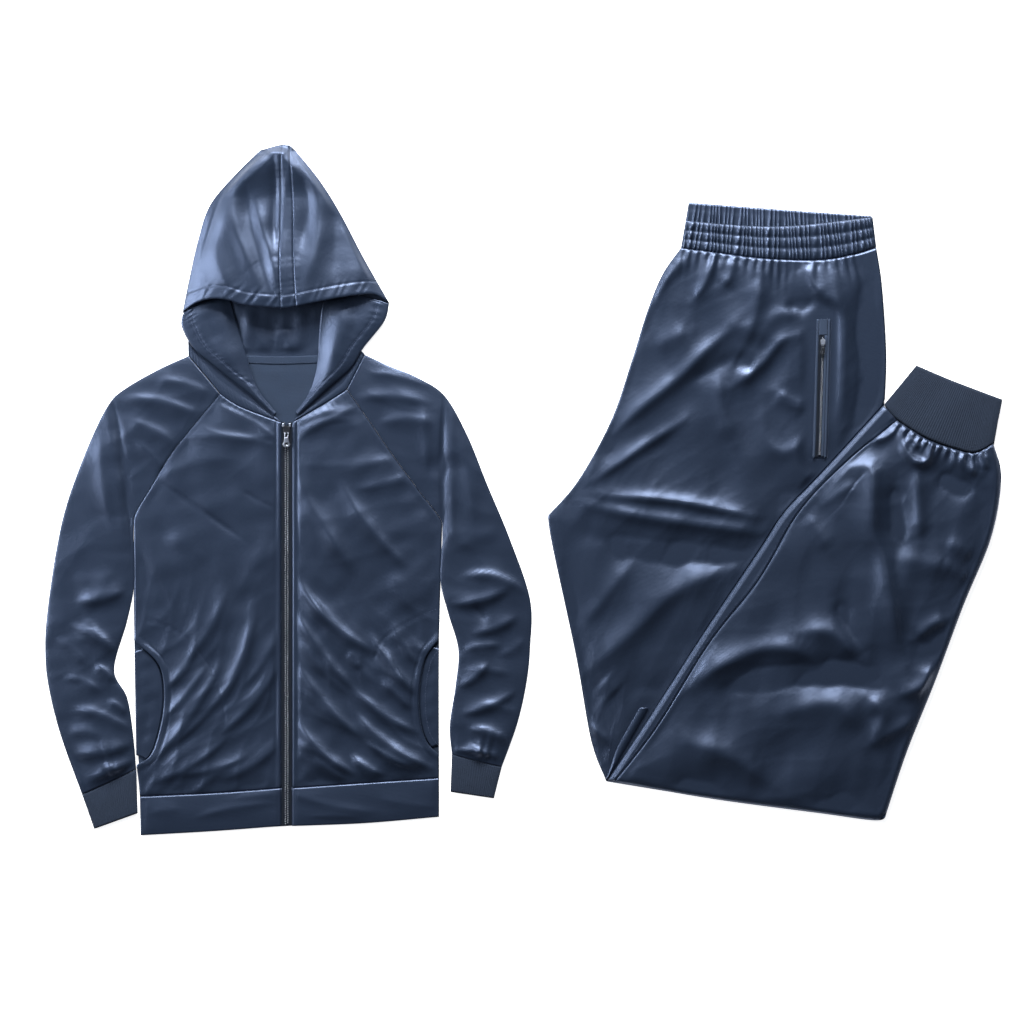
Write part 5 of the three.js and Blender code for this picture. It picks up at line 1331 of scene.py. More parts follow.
def outline_wall(name, outline, levels, at, material, rings=4):
    """A closed stack of layers over an outline: each level is the outline drawn in by its
    inset, along mitred corners, and the levels are joined smoothly."""
    high = np.array([level[0] for level in levels], float)
    inset = np.array([level[1] for level in levels], float)
    step = np.linspace(0, len(levels) - 1, (len(levels) - 1) * rings + 1)
    share = step - np.minimum(step.astype(int), len(levels) - 2)
    first = np.minimum(step.astype(int), len(levels) - 2)
    smooth = (1 - np.cos(math.pi * share)) / 2
    z = mix(high[first], high[first + 1], share)
    draw = mix(inset[first], inset[first + 1], smooth)
    before, after = np.roll(outline, 1, 0), np.roll(outline, -1, 0)
    ways = [(outline - before), (after - outline)]
    normals = [np.stack([-w[:, 1], w[:, 0]], 1) / np.linalg.norm(w, axis=1)[:, None] for w in ways]
    bisector = normals[0] + normals[1]
    bisector /= np.maximum(0.5, (bisector * normals[0]).sum(1))[:, None]
    points = outline[None] + bisector[None] * draw[:, None, None]
    count = len(outline)
    grid_points = with_height(points, z[:, None]).reshape(-1, 3)
    index = np.arange(len(z) * count).reshape(len(z), count)
    next_index = np.roll(index, -1, 1)
    sides = np.stack([index[:-1], next_index[:-1], next_index[1:], index[1:]], -1).reshape(-1, 4)
    caps = [index[:1, ::-1], index[-1:]]
    return mesh_piece(name, in_frame(grid_points, at), [sides, *caps], material)


def joined_run(*runs):
    return np.concatenate([np.asarray(run, float) for run in runs])


def make_hidden_layers(finish):
    hip = joined_run(
        sampled(line(LEG["knee"][:4]), 16),
        sampled(line(LEG["hip_hidden"]), 12)[:-1],
        sampled(line(LEG["outseam"][::-1]), 16)[:-1],
        sampled(moved(backwards(line(WAIST_LINES["seam"])), 0, -2 * SEAM), 16),
        sampled(line(LEG["rise"]), 30)[1:],
        sampled(line(LEG["inseam"]), 24)[1:-1],
    )
    folded = joined_run(
        sampled(line(LEG["knee"]), 30)[:-1],
        sampled(line(LEG["folded_side"]), 40)[1:],
        sampled(line(LEG["ankle"][::-1]), 14)[1:],
        sampled(line(LEG["band_outer"][::-1]), 40)[1:-1],
    )
    cuffs = joined_run(
        sampled(line(LEG["cuff_end"]), 12)[::-1],
        [(482, 166), (480, 128), (531, 95), (600, 74), (626, 92)],
    )
    stacks = {"leg": (hip, LEG_LEVELS), "folded": (folded, FOLDED_LEVELS), "cuff": (cuffs, CUFF_LEVELS)}
    for name, (outline, levels) in stacks.items():
        piece = outline_wall(f"{name}_layers", outline, levels, JOGGERS_AT, finish["satin"])
        dress(piece, ["hidden_layers"], "satin_cloth", **CUTS[f"{name}_layers"], rests_on=["floor"])


def make_legs(form, finish):
    satin = finish["satin"]
    low_end = join(LEG_WEST(np.array(0.0)), LEG_EAST(np.array(0.0)))
    place = patch(LEG_WEST, LEG_EAST, low_end, moved(line(WAIST_LINES["seam"]), 0, -SEAM))
    laid_sheet(
        "leg_front", (128, 210), place, leg_top(form), JOGGERS_AT, satin,
        "leg_layers", under=LEG_UNDER - 0.3,
    )

    low_top = folded_top(form)
    outer, inner = line(LEG["band_outer"]), line(LEG["band_inner"])
    ends = [join(outer(np.array(t)), inner(np.array(t))) for t in (0.0, 1.0)]
    place = patch(outer, inner, *ends)
    laid_sheet("side_band", (18, 200), place, low_top, JOGGERS_AT, satin, "folded_layers")

    west = moved(inner, SEAM + 0.2, -0.4)
    knee = line([west(np.array(0.0)), *LEG["knee"][1:]])
    ankle = line([west(np.array(1.0)), *LEG["ankle"][2:]])
    place = patch(west, line(LEG["folded_side"]), knee, ankle)
    laid_sheet("leg_folded", (150, 170), place, low_top, JOGGERS_AT, satin, "folded_layers")
    make_strip(satin)


def make_strip(satin):
    """The strip of the second leg that shows beside the side band at the knee."""
    high, low = STRIP_RUN

    def place(u, v):
        wide = mix(3, 12, ease(0, 0.5, v))
        point = mix(low, high, v[..., None])
        point[..., 0] += (u - 1) * wide + 1
        return point

    top = lambda xy, u, v: smooth_leg(xy) + LIE + WALL + 1.6 * np.sin(math.pi * u)
    laid_sheet("under_leg_edge", (16, 70), place, top, JOGGERS_AT, satin, "leg_front_cloth")


def make_ankle_cuff(form, finish):
    seam, end = line(LEG["ankle"]), line(LEG["cuff_end"])
    width = float(np.linalg.norm(seam(np.array(0.0)) - seam(np.array(1.0))))
    ribs = int(width * 1.3 / form.rib_pitch)
    t = np.linspace(0, 1, 24)

    def fold(share):
        first, last = seam(np.array(share)), end(np.array(share))
        return lambda t: mix(first, last, mix(CUFF_START, 1, t)[..., None])

    def top(xy, a, t):
        turn = np.arcsin(np.clip(a, -1, 1)) / math.pi * width * 1.3
        rib = np.cos(2 * math.pi * turn / form.rib_pitch)
        rolled = 0.6 * np.exp(-((t / 0.05) ** 2)) + 0.5 * np.exp(-(((1 - t) / 0.03) ** 2))
        waves = 0.5 * np.sin(5 * a + 1.0 + 2 * t) * (1 - a**2)
        bulge = 0.8 * np.sin(math.pi * t) ** 0.8
        return ANKLE_CUFF_HIGH - 0.9 + bulge + 0.26 * rib * (1 - rolled) + waves - 0.4 * rolled

    folds = [fold(1.0), fold(0.0)]
    rest = CUFF_PILE + LIE
    tube = flat_tube(*folds, t, ribs * 5, ribs, top, rest, closed, RIB_WALL)
    bent = [bend_to_lines(points, folds, seam, end, t) for points in tube]
    piece = cloth_wall("ankle_cuff_knit", *bent, JOGGERS_AT, finish["rib"])
    dress(piece, ["ankle_cuff"], "rib_knit", **CUTS["ankle_cuff"], rests_on=["cuff_layers"])


def bend_to_lines(points, folds, seam, end, t):
    """Moves a straight tube's rings onto the bowed ankle seam and cuff end."""
    first, last = folds[1](t), folds[0](t)
    way = last - first
    share = ((points[..., :2] - first[:, None]) * way[:, None]).sum(-1) / (way**2).sum(-1)[:, None]
    share = np.clip(share, 0, 1)
    target = mix(seam(share), end(share), mix(CUFF_START, 1, t)[:, None, None])
    straight = first[:, None] + way[:, None] * share[..., None]
    bent = points.copy()
    bent[..., :2] += target - straight
    return bent


# Waistband


def make_waistband(form, finish):
    """Both layers of the band: uneven gathers, crest = (0.5 + 0.5 cos(2 pi n))^2 with n the
    number of gathers so far, over the swell of the channels between the stitched rows."""
    gathers, low = WAIST["gathers"], WAIST["low"]
    seam = moved(line(WAIST_LINES["seam"]), 0, -0.5)
    base = {"back": low, "front": low + WAIST["deep"] + WAIST["swell"] + LIE + low}
    channels = {"back": 1, "front": WAIST["channels"]}
    for name in ("back", "front"):
        upper = line(WAIST_LINES[name])
        west, east = [join(seam(np.array(t)), upper(np.array(t))) for t in (0.0, 1.0)]
        seed = 101 if name == "front" else 102

        def top(xy, u, v, name=name, seed=seed):
            uneven = u * gathers + 0.32 * np.sin(u * 31 + 1.7 * v)
            uneven += 0.22 * np.sin(u * 77 + seed) + form.slant * v
            crest = (0.5 + 0.5 * np.cos(2 * math.pi * uneven)) ** 2
            crest *= 0.75 + 0.3 * np.sin(u * 43 + seed)
            bulge = np.abs(np.sin(math.pi * v * channels[name])) ** 0.75
            if name == "back":
                bulge = bulge * (1 - 0.5 * np.exp(-(((v - 0.87) / 0.03) ** 2)))
            ends = ease(0, 0.02, u) * ease(0, 0.02, 1 - u)
            z = base[name] - 0.4 + (form.gather * crest * (0.3 + 0.7 * bulge) + form.swell * bulge) * ends
            return z + undulation(xy, seed, 60, 0.15)

        place = patch(west, east, seam, upper)
        laid_sheet(
            f"waistband_{name}", (380, 26), place, top, JOGGERS_AT, finish["satin"],
            "leg_layers", thick=low - 0.4, under=base[name] - low,
        )


# Pocket zip. Its pieces lie on the leg along one slightly slanted line; each row is
# (node, low x, high x, low and high share of the line).

POCKET_FACING = 1.2
POCKET_PIECES = [
    ("pocket_welt_left", -9.5, -6.1, 0.0, 1.13),
    ("pocket_zip_flap", 2.3, 6.1, 0.01, 1.0),
    ("pocket_welt_right", 6.5, 9.5, 0.0, 1.13),
    ("pocket_top_patch", -5.7, 6.1, 1.005, 1.13),
]


def pocket_place(low_x, high_x, start, end):
    def place(u, v):
        point = mix(POCKET_LOW, POCKET_TOP, mix(start, end, v)[..., None])
        point[..., 0] += mix(low_x, high_x, u)
        return point

    return place


def make_pocket_zip(form, finish):
    thick = POCKET_FACING - 0.3
    for node, low_x, high_x, start, end in POCKET_PIECES:
        roll = min(0.45 * (high_x - low_x) / 3.4, 0.5) if node != "pocket_top_patch" else 0.3
        top = lambda xy, u, v: smooth_leg(xy) + POCKET_LIE + thick + roll * np.sin(math.pi * u) ** 0.6
        place = pocket_place(low_x, high_x, start, end)
        piece = sheet_wall(f"{node}_cloth", 8, 80, place, top, JOGGERS_AT, finish["facing"], thick)
        dress(piece, [node], "satin_cloth" if node == "pocket_zip_flap" else "matte_inside")
    give_finish("pocket_zip_tape", finish["tape"])
    level = lambda point: smooth_leg(point) + POCKET_LIE + 1.15
    path = join(mix(POCKET_LOW, POCKET_TOP, 0.015), mix(POCKET_LOW, POCKET_TOP, 0.995))
    pitch = form.tooth_pitch * 0.8
    piece = zip_teeth("pocket_zip_teeth", path, POCKET_TEETH, pitch, level, JOGGERS_AT, finish["metal"])
    dress(piece, ["pocket_zip_chain"], "zip_metal")
    top = lambda xy, u, v: smooth_leg(xy) + POCKET_LIE + 0.7
    place = pocket_place(-1.5, 1.5, 0.012, 0.998)
    piece = sheet_wall("pocket_zip_core", 4, 60, place, top, JOGGERS_AT, finish["tape"], 0.6)
    dress(piece, [], "zip_tape")
    metal_piece("pocket_slider_metal", "pocket_slider", 0.2, finish["pull"], CLOTH_BODY)
    metal_piece("pocket_pull_metal", "pocket_pull", 0.2, finish["slider"], "pocket_pull")


# Stitches

STITCH_FACES = np.array(
    [(0, 2, 1), (0, 3, 2), (0, 4, 3), (0, 1, 4)]
    + [(1 + k, 1 + (k + 1) % 4, 5 + k) for k in range(4)]
    + [(1 + (k + 1) % 4, 5 + (k + 1) % 4, 5 + k) for k in range(4)]
    + [(9, 5, 6), (9, 6, 7), (9, 7, 8), (9, 8, 5)]
)


def row_on(path, top, count=260):
    """A row of stitches' line: a path in plan laid on a height."""
    xy = sampled(path, count)
    return with_height(xy, top(xy))


def offset_path(path, away, count=160):
    """The path moved sideways by away millimetres; above zero is to its left."""
    run = sampled(path, count)
    way = np.gradient(run, axis=0)
    way /= np.linalg.norm(way, axis=1)[:, None]
    return line(run + away * np.stack([-way[:, 1], way[:, 0]], 1))


def stitch_rows(name, rows, form, at, finish, thick=0.2):
    """Spindle-shaped stitches along rows of points: two rings of four corners between two
    tips, which dip into the cloth."""
    bases = []
    for row in rows:
        steps = np.append(0, np.cumsum(np.linalg.norm(np.diff(row[:, :2], axis=0), axis=1)))
        starts = np.arange(0.5, steps[-1] - form.stitch_length, form.stitch_length + form.stitch_gap)
        wanted = starts[:, None] + form.stitch_length * np.array([0, 0.22, 0.78, 1])
        spots = np.stack([np.interp(wanted, steps, row[:, k]) for k in range(3)], -1)
        way = spots[:, 3, :2] - spots[:, 0, :2]
        way /= np.linalg.norm(way, axis=1)[:, None]
        side = np.stack([way[:, 1], -way[:, 0], np.zeros(len(way))], 1)[:, None, :] * thick * 1.15
        up = np.array([0, 0, thick])
        rings = []
        for k in (1, 2):
            middle = spots[:, k : k + 1] + np.array([0, 0, 0.1])
            rings.append(np.concatenate([middle + side, middle + up, middle - side, middle - up], 1))
        tips = [spots[:, k : k + 1] - np.array([0, 0, 0.2]) for k in (0, 3)]
        bases.append(np.concatenate([tips[0], rings[0], rings[1], tips[1]], 1))
    points = np.concatenate(bases)
    steps = np.arange(len(points))[:, None, None] * 10
    faces = (STITCH_FACES[None] + steps).reshape(-1, 3)
    piece = mesh_piece(name, in_frame(points.reshape(-1, 3), at), [faces], finish["thread"])
    dress(piece, [], "satin_cloth")


def stitch_jacket(form, finish):
    for name, side in SIDES.items():
        sign = side["sign"]
        top = front_top(side, form)
        zip_line = join((sign * 13.8, 54), (sign * 13.8, 558))
        mouth = offset_path(line(side["pocket"]), -9.2)
        bag = line(side["bag"])
        rows = [row_on(zip_line, top, 900), row_on(mouth, top), row_on(bag, top)]
        stitch_rows(f"front_{name}_stitches", rows, form, JACKET_AT, finish)
    rows = [row_on(offset_path(BRIM_LINE, HEM_STITCH), crown_top(form), 400)]
    stitch_rows("hood_brim_stitches", rows, form, JACKET_AT, finish)
    tape = [with_height(sampled(join((-60, y), (43, y)), 90), 2.3) for y in (651.0, 658.4)]
    stitch_rows("neck_tape_stitches", tape, form, JACKET_AT, finish)


def stitch_joggers(form, finish):
    top = folded_top(form)
    outer = row_on(offset_path(line(LEG["band_outer"]), -3.4), top, 700)
    inner = row_on(offset_path(line(LEG["band_inner"]), 3.0), top, 700)
    stitch_rows("side_band_stitches", [outer[6:-6], inner[6:-6]], form, JOGGERS_AT, finish)

    left = join(POCKET_LOW + (-8.2, -1), POCKET_TOP + (-7.8, 22))
    right = join(POCKET_LOW + (11.6, -1), POCKET_TOP + (12.0, 22))
    low = join(POCKET_LOW + (-16, -2), POCKET_LOW + (11, -2.4))
    high = join(POCKET_TOP + (-8.2, 22.6), POCKET_TOP + (12, 22.6))
    rows = [
        row_on(left, lambda xy: smooth_leg(xy) + POCKET_LIE + 1.3, 400),
        row_on(right, lambda xy: smooth_leg(xy) + 0.1, 400),
        row_on(low, leg_top(form)),
        row_on(high, lambda xy: smooth_leg(xy) + 0.3),
    ]
    stitch_rows("pocket_zip_stitches", rows, form, JOGGERS_AT, finish)


# Surfaces


# A band texture of scale 1 runs 20 radians over one metre.
BANDS = 2 * math.pi / 20


def new_material(name, colour, rough):
    material = bpy.data.materials.new(name)
    material.use_nodes = True
    shader = material.node_tree.nodes["Principled BSDF"]
    shader.inputs["Base Color"].default_value = (*colour, 1)
    shader.inputs["Roughness"].default_value = rough
    material.diffuse_color = (*colour, 1)
    return material, material.node_tree, shader


def add_node(tree, kind, **values):
    node = tree.nodes.new(kind)
    for key, value in values.items():
        if key in node.inputs:
            node.inputs[key].default_value = value
        else:
            setattr(node, key, value)
    return node


def varied_colour(tree, shader, colour, spread, scale):
    """Mixes two shades of a colour by a soft noise in the object's own space."""
    place = add_node(tree, "ShaderNodeTexCoord")
    noise = add_node(tree, "ShaderNodeTexNoise", Scale=scale, Detail=4.0, Roughness=0.55)
    tree.links.new(place.outputs["Object"], noise.inputs["Vector"])
    blend = add_node(tree, "ShaderNodeMix", data_type="RGBA")
    sockets = [socket for socket in blend.inputs if socket.type == "RGBA"]
    sockets[0].default_value = (*[c * (1 - spread) for c in colour], 1)
    sockets[1].default_value = (*[c * (1 + spread) for c in colour], 1)
    tree.links.new(noise.outputs["Fac"], blend.inputs["Factor"])
    result = [socket for socket in blend.outputs if socket.type == "RGBA"][0]
    tree.links.new(result, shader.inputs["Base Color"])
    return place, noise


def knit_bump(tree, shader, place, spacing, deep, grain):
    """Fine rows of knitting: two crossed waves on the piece's own map, with a soft noise."""
    total = None
    for direction, share in (("X", 1.0), ("Y", 0.6)):
        wave = add_node(tree, "ShaderNodeTexWave", Scale=BANDS / spacing * share, Distortion=0.6)
        wave.bands_direction = direction
        tree.links.new(place.outputs["UV"], wave.inputs["Vector"])
        total = add_sum(tree, total, wave.outputs["Fac"], share)
    noise = add_node(tree, "ShaderNodeTexNoise", Scale=grain, Detail=3.0)
    tree.links.new(place.outputs["Object"], noise.inputs["Vector"])
    total = add_sum(tree, total, noise.outputs["Fac"], 3.0)
    bump = add_node(tree, "ShaderNodeBump", Strength=1.0, Distance=deep)
    tree.links.new(total, bump.inputs["Height"])
    tree.links.new(bump.outputs["Normal"], shader.inputs["Normal"])


def add_sum(tree, total, value, share):
    scaled = add_node(tree, "ShaderNodeMath", operation="MULTIPLY")
    tree.links.new(value, scaled.inputs[0])
    scaled.inputs[1].default_value = share
    if total is None:
        return scaled.outputs[0]
    added = add_node(tree, "ShaderNodeMath", operation="ADD")
    tree.links.new(total, added.inputs[0])
    tree.links.new(scaled.outputs[0], added.inputs[1])
    return added.outputs[0]


def satin_finish(form):
    """Smooth knitted satin: dark, with a broad bluish gloss."""
    colour = form.cloth_colour
    material, tree, shader = new_material("satin knit", colour, form.gloss_spread)
    place, _ = varied_colour(tree, shader, colour, 0.1, 14.0)
    knit_bump(tree, shader, place, spacing=0.0011, deep=0.00005, grain=160.0)
    shader.inputs["Specular IOR Level"].default_value = 1.0
    shader.inputs["Specular Tint"].default_value = (*form.gloss_tint, 1)
    shader.inputs["Sheen Weight"].default_value = 0.06
    shader.inputs["Sheen Roughness"].default_value = 0.35
    shader.inputs["Sheen Tint"].default_value = (*form.gloss_tint, 1)
    return material


def matte_finish(name, colour, spacing, deep, sheen):
    """Dull cloth: brushed inside, ribs, tape or thread."""
    material, tree, shader = new_material(name, colour, 0.85)
    place, _ = varied_colour(tree, shader, colour, 0.14, 60.0)
    knit_bump(tree, shader, place, spacing, deep, grain=400.0)
    shader.inputs["Specular IOR Level"].default_value = 0.2
    shader.inputs["Sheen Weight"].default_value = sheen
    shader.inputs["Sheen Roughness"].default_value = 0.5
    shader.inputs["Sheen Tint"].default_value = (0.6, 0.7, 1.0, 1)
    return material


def tape_finish(colour):
    """Woven zip tape: fine bars across its length in the object's own space."""
    material, tree, shader = new_material("woven tape", colour, 0.8)
    shader.inputs["Specular IOR Level"].default_value = 0.15
    place, _ = varied_colour(tree, shader, colour, 0.15, 80.0)
    wave = add_node(tree, "ShaderNodeTexWave", Scale=BANDS / 0.0012, Distortion=0.3)
    wave.bands_direction = "Y"
    tree.links.new(place.outputs["Object"], wave.inputs["Vector"])
    bump = add_node(tree, "ShaderNodeBump", Strength=0.8, Distance=0.0001)
    tree.links.new(wave.outputs["Fac"], bump.inputs["Height"])
    tree.links.new(bump.outputs["Normal"], shader.inputs["Normal"])
    return material


def metal_finish(name, colour):
    """Smooth metal, with its roughness between 0.22 and 0.4 by the same noise as its colour."""
    material, tree, shader = new_material(f"zip {name}", colour, 0.3)
    shader.inputs["Metallic"].default_value = 1.0
    _, noise = varied_colour(tree, shader, colour, 0.12, 300.0)
    rough = add_node(tree, "ShaderNodeMapRange")
    rough.inputs["To Min"].default_value = 0.22
    rough.inputs["To Max"].default_value = 0.4
    tree.links.new(noise.outputs["Fac"], rough.inputs["Value"])
    tree.links.new(rough.outputs["Result"], shader.inputs["Roughness"])
    return material


def finishes(form):
    """The set's materials, made once."""
    if not FINISH:
        FINISH["satin"] = satin_finish(form)
        FINISH["inside"] = matte_finish("brushed inside", form.inside_colour, 0.0012, 0.00005, 0.15)
        FINISH["rib"] = matte_finish("rib knit", form.rib_colour, 0.0013, 0.00012, 0.14)
        FINISH["tape"] = tape_finish(form.tape_colour)
        facing = [1.2 * part + 0.004 for part in form.inside_colour]
        FINISH["facing"] = matte_finish("zip facing", facing, 0.0012, 0.00005, 0.15)
        FINISH["thread"] = matte_finish("thread", form.thread_colour, 0.0006, 0.00003, 0.3)
        for name, share in (("metal", 0.8), ("slider", 0.3), ("pull", 2.2)):
            FINISH[name] = metal_finish(name, [share * part for part in form.metal_colour])
    return FINISH


FINISH = {}


# Stage


FLOOR_REACH = 12.0
FLOOR_Z = -0.0003
VIEW_MIDDLE = (-0.0161, -0.0315)
VIEW_WIDE = 1.4336
VIEW_LEVEL = 0.02
SENSOR_WIDE = 36.0


def soft_box(name, place, size, power, colour):
    """A rectangular light that faces the middle of the set and isn't seen by the camera."""
    lamp = bpy.data.lights.new(name, "AREA")
    lamp.shape, lamp.size, lamp.size_y = "RECTANGLE", size[0], size[1]
    lamp.energy, lamp.color = power, colour
    holder = bpy.data.objects.new(name, lamp)
    holder.location = place
    holder.rotation_euler = (-Vector(place)).to_track_quat("-Z", "Y").to_euler()
    holder.visible_camera = False
    bpy.context.scene.collection.objects.link(holder)
    return holder


def make_stage(light):
    """A pale floor, a broad key light from beyond the hood, a side light, a soft fill and the
    camera straight above."""
    scene = bpy.context.scene
    floor = bpy.data.meshes.new("floor")
    corners = [(-1, -1), (1, -1), (1, 1), (-1, 1)]
    points = [(x * FLOOR_REACH, y * FLOOR_REACH, FLOOR_Z) for x, y in corners]
    floor.from_pydata(points, [], [(0, 1, 2, 3)])
    material, _, shader = new_material("pale floor", light.floor_colour, 0.9)
    shader.inputs["Specular IOR Level"].default_value = 0.0
    shader.inputs["Emission Color"].default_value = (*light.floor_colour, 1)
    shader.inputs["Emission Strength"].default_value = light.floor_glow
    floor.materials.append(material)
    floor_piece = bpy.data.objects.new("floor", floor)
    scene.collection.objects.link(floor_piece)

    lamps = [
        soft_box("key light", (-0.1, 2.25, 1.2), (1.8, 0.8), light.key_strength, (1.0, 0.99, 0.97)),
        soft_box("side light", (-2.3, 0.5, 1.1), (1.2, 0.7), light.side_strength, (0.95, 0.97, 1.0)),
        soft_box("fill light", (0.2, -0.4, 3.2), (3.0, 2.4), light.fill_strength, (0.94, 0.97, 1.0)),
    ]

    camera = bpy.data.cameras.new("camera")
    camera.lens, camera.sensor_width, camera.clip_end = light.lens, SENSOR_WIDE, 40.0
    camera.dof.use_dof = False
    camera_object = bpy.data.objects.new("camera", camera)
    camera_object.location = (*VIEW_MIDDLE, VIEW_WIDE * light.lens / SENSOR_WIDE + VIEW_LEVEL)
    scene.collection.objects.link(camera_object)
    scene.camera = camera_object

    world = bpy.data.worlds.new("studio")
    world.use_nodes = True
    sky = world.node_tree.nodes["Background"]
    sky.inputs["Color"].default_value = (*light.sky_colour, 1)
    sky.inputs["Strength"].default_value = light.sky_strength
    scene.world = world
    scene.view_settings.view_transform = "Standard"
    scene.view_settings.look = "None"
    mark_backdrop(floor_piece, camera_object, *lamps)


# Settings, operators and panel


def colour_property(name, text, value):
    return bpy.props.FloatVectorProperty(
        name=name, description=text, default=value, subtype="COLOR", size=3, min=0, max=1
    )


class ClothingForm(bpy.types.PropertyGroup):
    """Colours and shapes of the jacket and the joggers."""

    cloth_colour: colour_property("Cloth", "Colour of the satin knit", (0.0038, 0.0076, 0.0165))
    gloss_tint: colour_property("Gloss", "Tint of the satin's gloss", (0.5, 0.64, 1.0))
    inside_colour: colour_property("Inside", "Colour of the brushed inside", (0.0095, 0.0185, 0.038))
    rib_colour: colour_property("Rib", "Colour of the knitted cuffs", (0.0085, 0.0152, 0.03))
    tape_colour: colour_property("Tape", "Colour of the zip tape", (0.002, 0.0045, 0.010))
    thread_colour: colour_property("Thread", "Colour of the stitching", (0.02, 0.032, 0.066))
    metal_colour: colour_property("Metal", "Colour of the zips", (0.25, 0.275, 0.33))
    gloss_spread: bpy.props.FloatProperty(
        name="Gloss spread", description="Roughness of the satin", default=0.4, min=0.1, max=1,
        subtype="FACTOR",
    )
    fold: bpy.props.FloatProperty(
        name="Folds", description="Height of the folds against the tables", default=1.0, min=0, max=2
    )
    ripple: bpy.props.FloatProperty(
        name="Ripples", description="Height of the uneven waves against the tables", default=1.0, min=0, max=2
    )
    gather: bpy.props.FloatProperty(
        name="Gathers", description="Depth of the waistband's gathers, in mm", default=2.8, min=0, max=4
    )
    swell: bpy.props.FloatProperty(
        name="Channels", description="Rise of the waistband between its stitched rows, in mm",
        default=1.3, min=0, max=3,
    )
    slant: bpy.props.FloatProperty(
        name="Slant", description="How many gathers each one leans across the band",
        default=0.35, min=-2, max=2,
    )
    rib_pitch: bpy.props.FloatProperty(
        name="Rib pitch", description="Spacing of the cuffs' ribs, in mm", default=2.8, min=1, max=8
    )
    tooth_pitch: bpy.props.FloatProperty(
        name="Tooth pitch", description="Spacing of the front zip's teeth, in mm", default=2.5, min=1, max=6
    )
    stitch_length: bpy.props.FloatProperty(
        name="Stitch", description="Length of a stitch, in mm", default=2.8, min=1, max=8
    )
    stitch_gap: bpy.props.FloatProperty(
        name="Gap", description="Gap between stitches, in mm", default=1.2, min=0.3, max=8
    )


class ClothingLight(bpy.types.PropertyGroup):
    """Floor, lights and camera."""

    floor_colour: colour_property("Floor", "Colour of the floor", (0.9, 0.9, 0.9))
    floor_glow: bpy.props.FloatProperty(
        name="Floor glow", description="Light given off by the floor", default=0.95, min=0, max=2
    )
    key_strength: bpy.props.FloatProperty(
        name="Key", description="Power of the key light", default=250.0, min=0, max=1000, subtype="POWER"
    )
    side_strength: bpy.props.FloatProperty(
        name="Side", description="Power of the side light", default=75.0, min=0, max=1000, subtype="POWER"
    )
    fill_strength: bpy.props.FloatProperty(
        name="Fill", description="Power of the fill light", default=2.5, min=0, max=500, subtype="POWER"
    )
    sky_colour: colour_property("Sky", "Colour of the surrounding light", (0.8, 0.88, 1.0))
    sky_strength: bpy.props.FloatProperty(
        name="Sky strength", description="Strength of the surrounding light", default=0.13, min=0, max=5
    )
    lens: bpy.props.FloatProperty(
        name="Lens", description="Focal length of the camera", default=150.0, min=20, max=400,
        subtype="DISTANCE_CAMERA",
    )


def settings():
    scene = bpy.context.scene
    return scene.clothing_form, scene.clothing_light


def form_and_finish():
    form = settings()[0]
    return form, finishes(form)


class CLOTHING_OT_jacket_body(bpy.types.Operator):
    """Adds the jacket's fronts, pocket bags, back and hem bands"""

    bl_idname = "clothing.jacket_body"
    bl_label = "Jacket Body"

    def execute(self, context):
        form, finish = form_and_finish()
        make_fronts(form, finish)
        make_back(finish)
        return {"FINISHED"}


class CLOTHING_OT_sleeves(bpy.types.Operator):
    """Adds both raglan sleeves and their knitted cuffs"""

    bl_idname = "clothing.sleeves"
    bl_label = "Sleeves"

    def execute(self, context):
        make_sleeves(*form_and_finish())
        return {"FINISHED"}


class CLOTHING_OT_hood(bpy.types.Operator):
    """Adds the hood: its back, sides, feet, crown, centre strip and neck tape"""

    bl_idname = "clothing.hood"
    bl_label = "Hood"

    def execute(self, context):
        make_hood(*form_and_finish())
        return {"FINISHED"}


class CLOTHING_OT_front_zip(bpy.types.Operator):
    """Adds the front zip: tapes, teeth, stops, slider and pull"""

    bl_idname = "clothing.front_zip"
    bl_label = "Front Zip"

    def execute(self, context):
        make_front_zip(*form_and_finish())
        return {"FINISHED"}


class CLOTHING_OT_legs(bpy.types.Operator):
    """Adds the joggers' folded legs, side band and the layers under them"""

    bl_idname = "clothing.legs"
    bl_label = "Legs"

    def execute(self, context):
        form, finish = form_and_finish()
        make_hidden_layers(finish)
        make_legs(form, finish)
        make_ankle_cuff(form, finish)
        return {"FINISHED"}


class CLOTHING_OT_waistband(bpy.types.Operator):
    """Adds the joggers' gathered waistband"""

    bl_idname = "clothing.waistband"
    bl_label = "Waistband"

    def execute(self, context):
        make_waistband(*form_and_finish())
        return {"FINISHED"}


class CLOTHING_OT_pocket_zip(bpy.types.Operator):
    """Adds the joggers' zipped pocket"""

    bl_idname = "clothing.pocket_zip"
    bl_label = "Pocket Zip"

    def execute(self, context):
        make_pocket_zip(*form_and_finish())
        return {"FINISHED"}


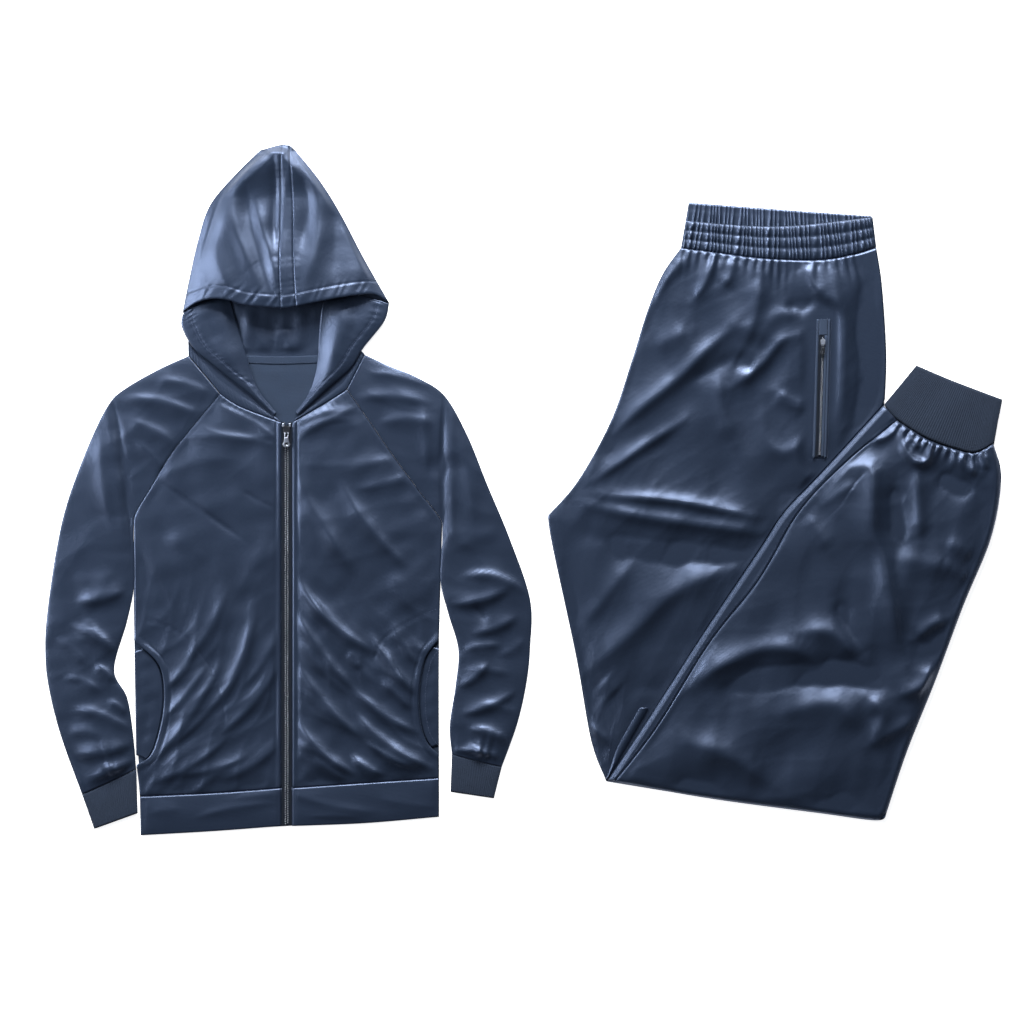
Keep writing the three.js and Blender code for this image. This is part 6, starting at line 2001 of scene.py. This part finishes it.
class CLOTHING_OT_stitches(bpy.types.Operator):
    """Adds the rows of stitches of both garments"""

    bl_idname = "clothing.stitches"
    bl_label = "Stitches"

    def execute(self, context):
        form, finish = form_and_finish()
        stitch_jacket(form, finish)
        stitch_joggers(form, finish)
        return {"FINISHED"}


class CLOTHING_OT_stage(bpy.types.Operator):
    """Adds the floor, the lights and the camera"""

    bl_idname = "clothing.stage"
    bl_label = "Stage"

    def execute(self, context):
        make_stage(settings()[1])
        return {"FINISHED"}


class CLOTHING_PT_panel(bpy.types.Panel):
    """Lists the set's pieces and its settings"""

    bl_idname = "CLOTHING_PT_panel"
    bl_label = "Sweatshirt and Jogger Set"
    bl_space_type = "VIEW_3D"
    bl_region_type = "UI"
    bl_category = "Clothing Set"

    def draw(self, context):
        for operator in OPERATORS:
            self.layout.operator(operator.bl_idname)
        for group in settings():
            box = self.layout.box()
            for key in group.__annotations__:
                box.prop(group, key)


OPERATORS = (
    CLOTHING_OT_jacket_body,
    CLOTHING_OT_sleeves,
    CLOTHING_OT_hood,
    CLOTHING_OT_front_zip,
    CLOTHING_OT_legs,
    CLOTHING_OT_waistband,
    CLOTHING_OT_pocket_zip,
    CLOTHING_OT_stitches,
    CLOTHING_OT_stage,
)
CLASSES = (ClothingForm, ClothingLight, *OPERATORS, CLOTHING_PT_panel)


def register():
    for one in CLASSES:
        bpy.utils.register_class(one)
    bpy.types.Scene.clothing_form = bpy.props.PointerProperty(type=ClothingForm)
    bpy.types.Scene.clothing_light = bpy.props.PointerProperty(type=ClothingLight)


def unregister():
    del bpy.types.Scene.clothing_light
    del bpy.types.Scene.clothing_form
    for one in reversed(CLASSES):
        bpy.utils.unregister_class(one)


def main():
    register()
    bpy.ops.clothing.stage()
    bpy.ops.clothing.jacket_body()
    bpy.ops.clothing.sleeves()
    bpy.ops.clothing.hood()
    bpy.ops.clothing.front_zip()
    bpy.ops.clothing.legs()
    bpy.ops.clothing.waistband()
    bpy.ops.clothing.pocket_zip()
    bpy.ops.clothing.stitches()
    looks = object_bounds()
    plain = lambda box: [[float(value) for value in corner] for corner in box]
    {"cad": plain(CAD_BOX), "looks": plain(looks)}


if __name__ == "__main__":
    main()
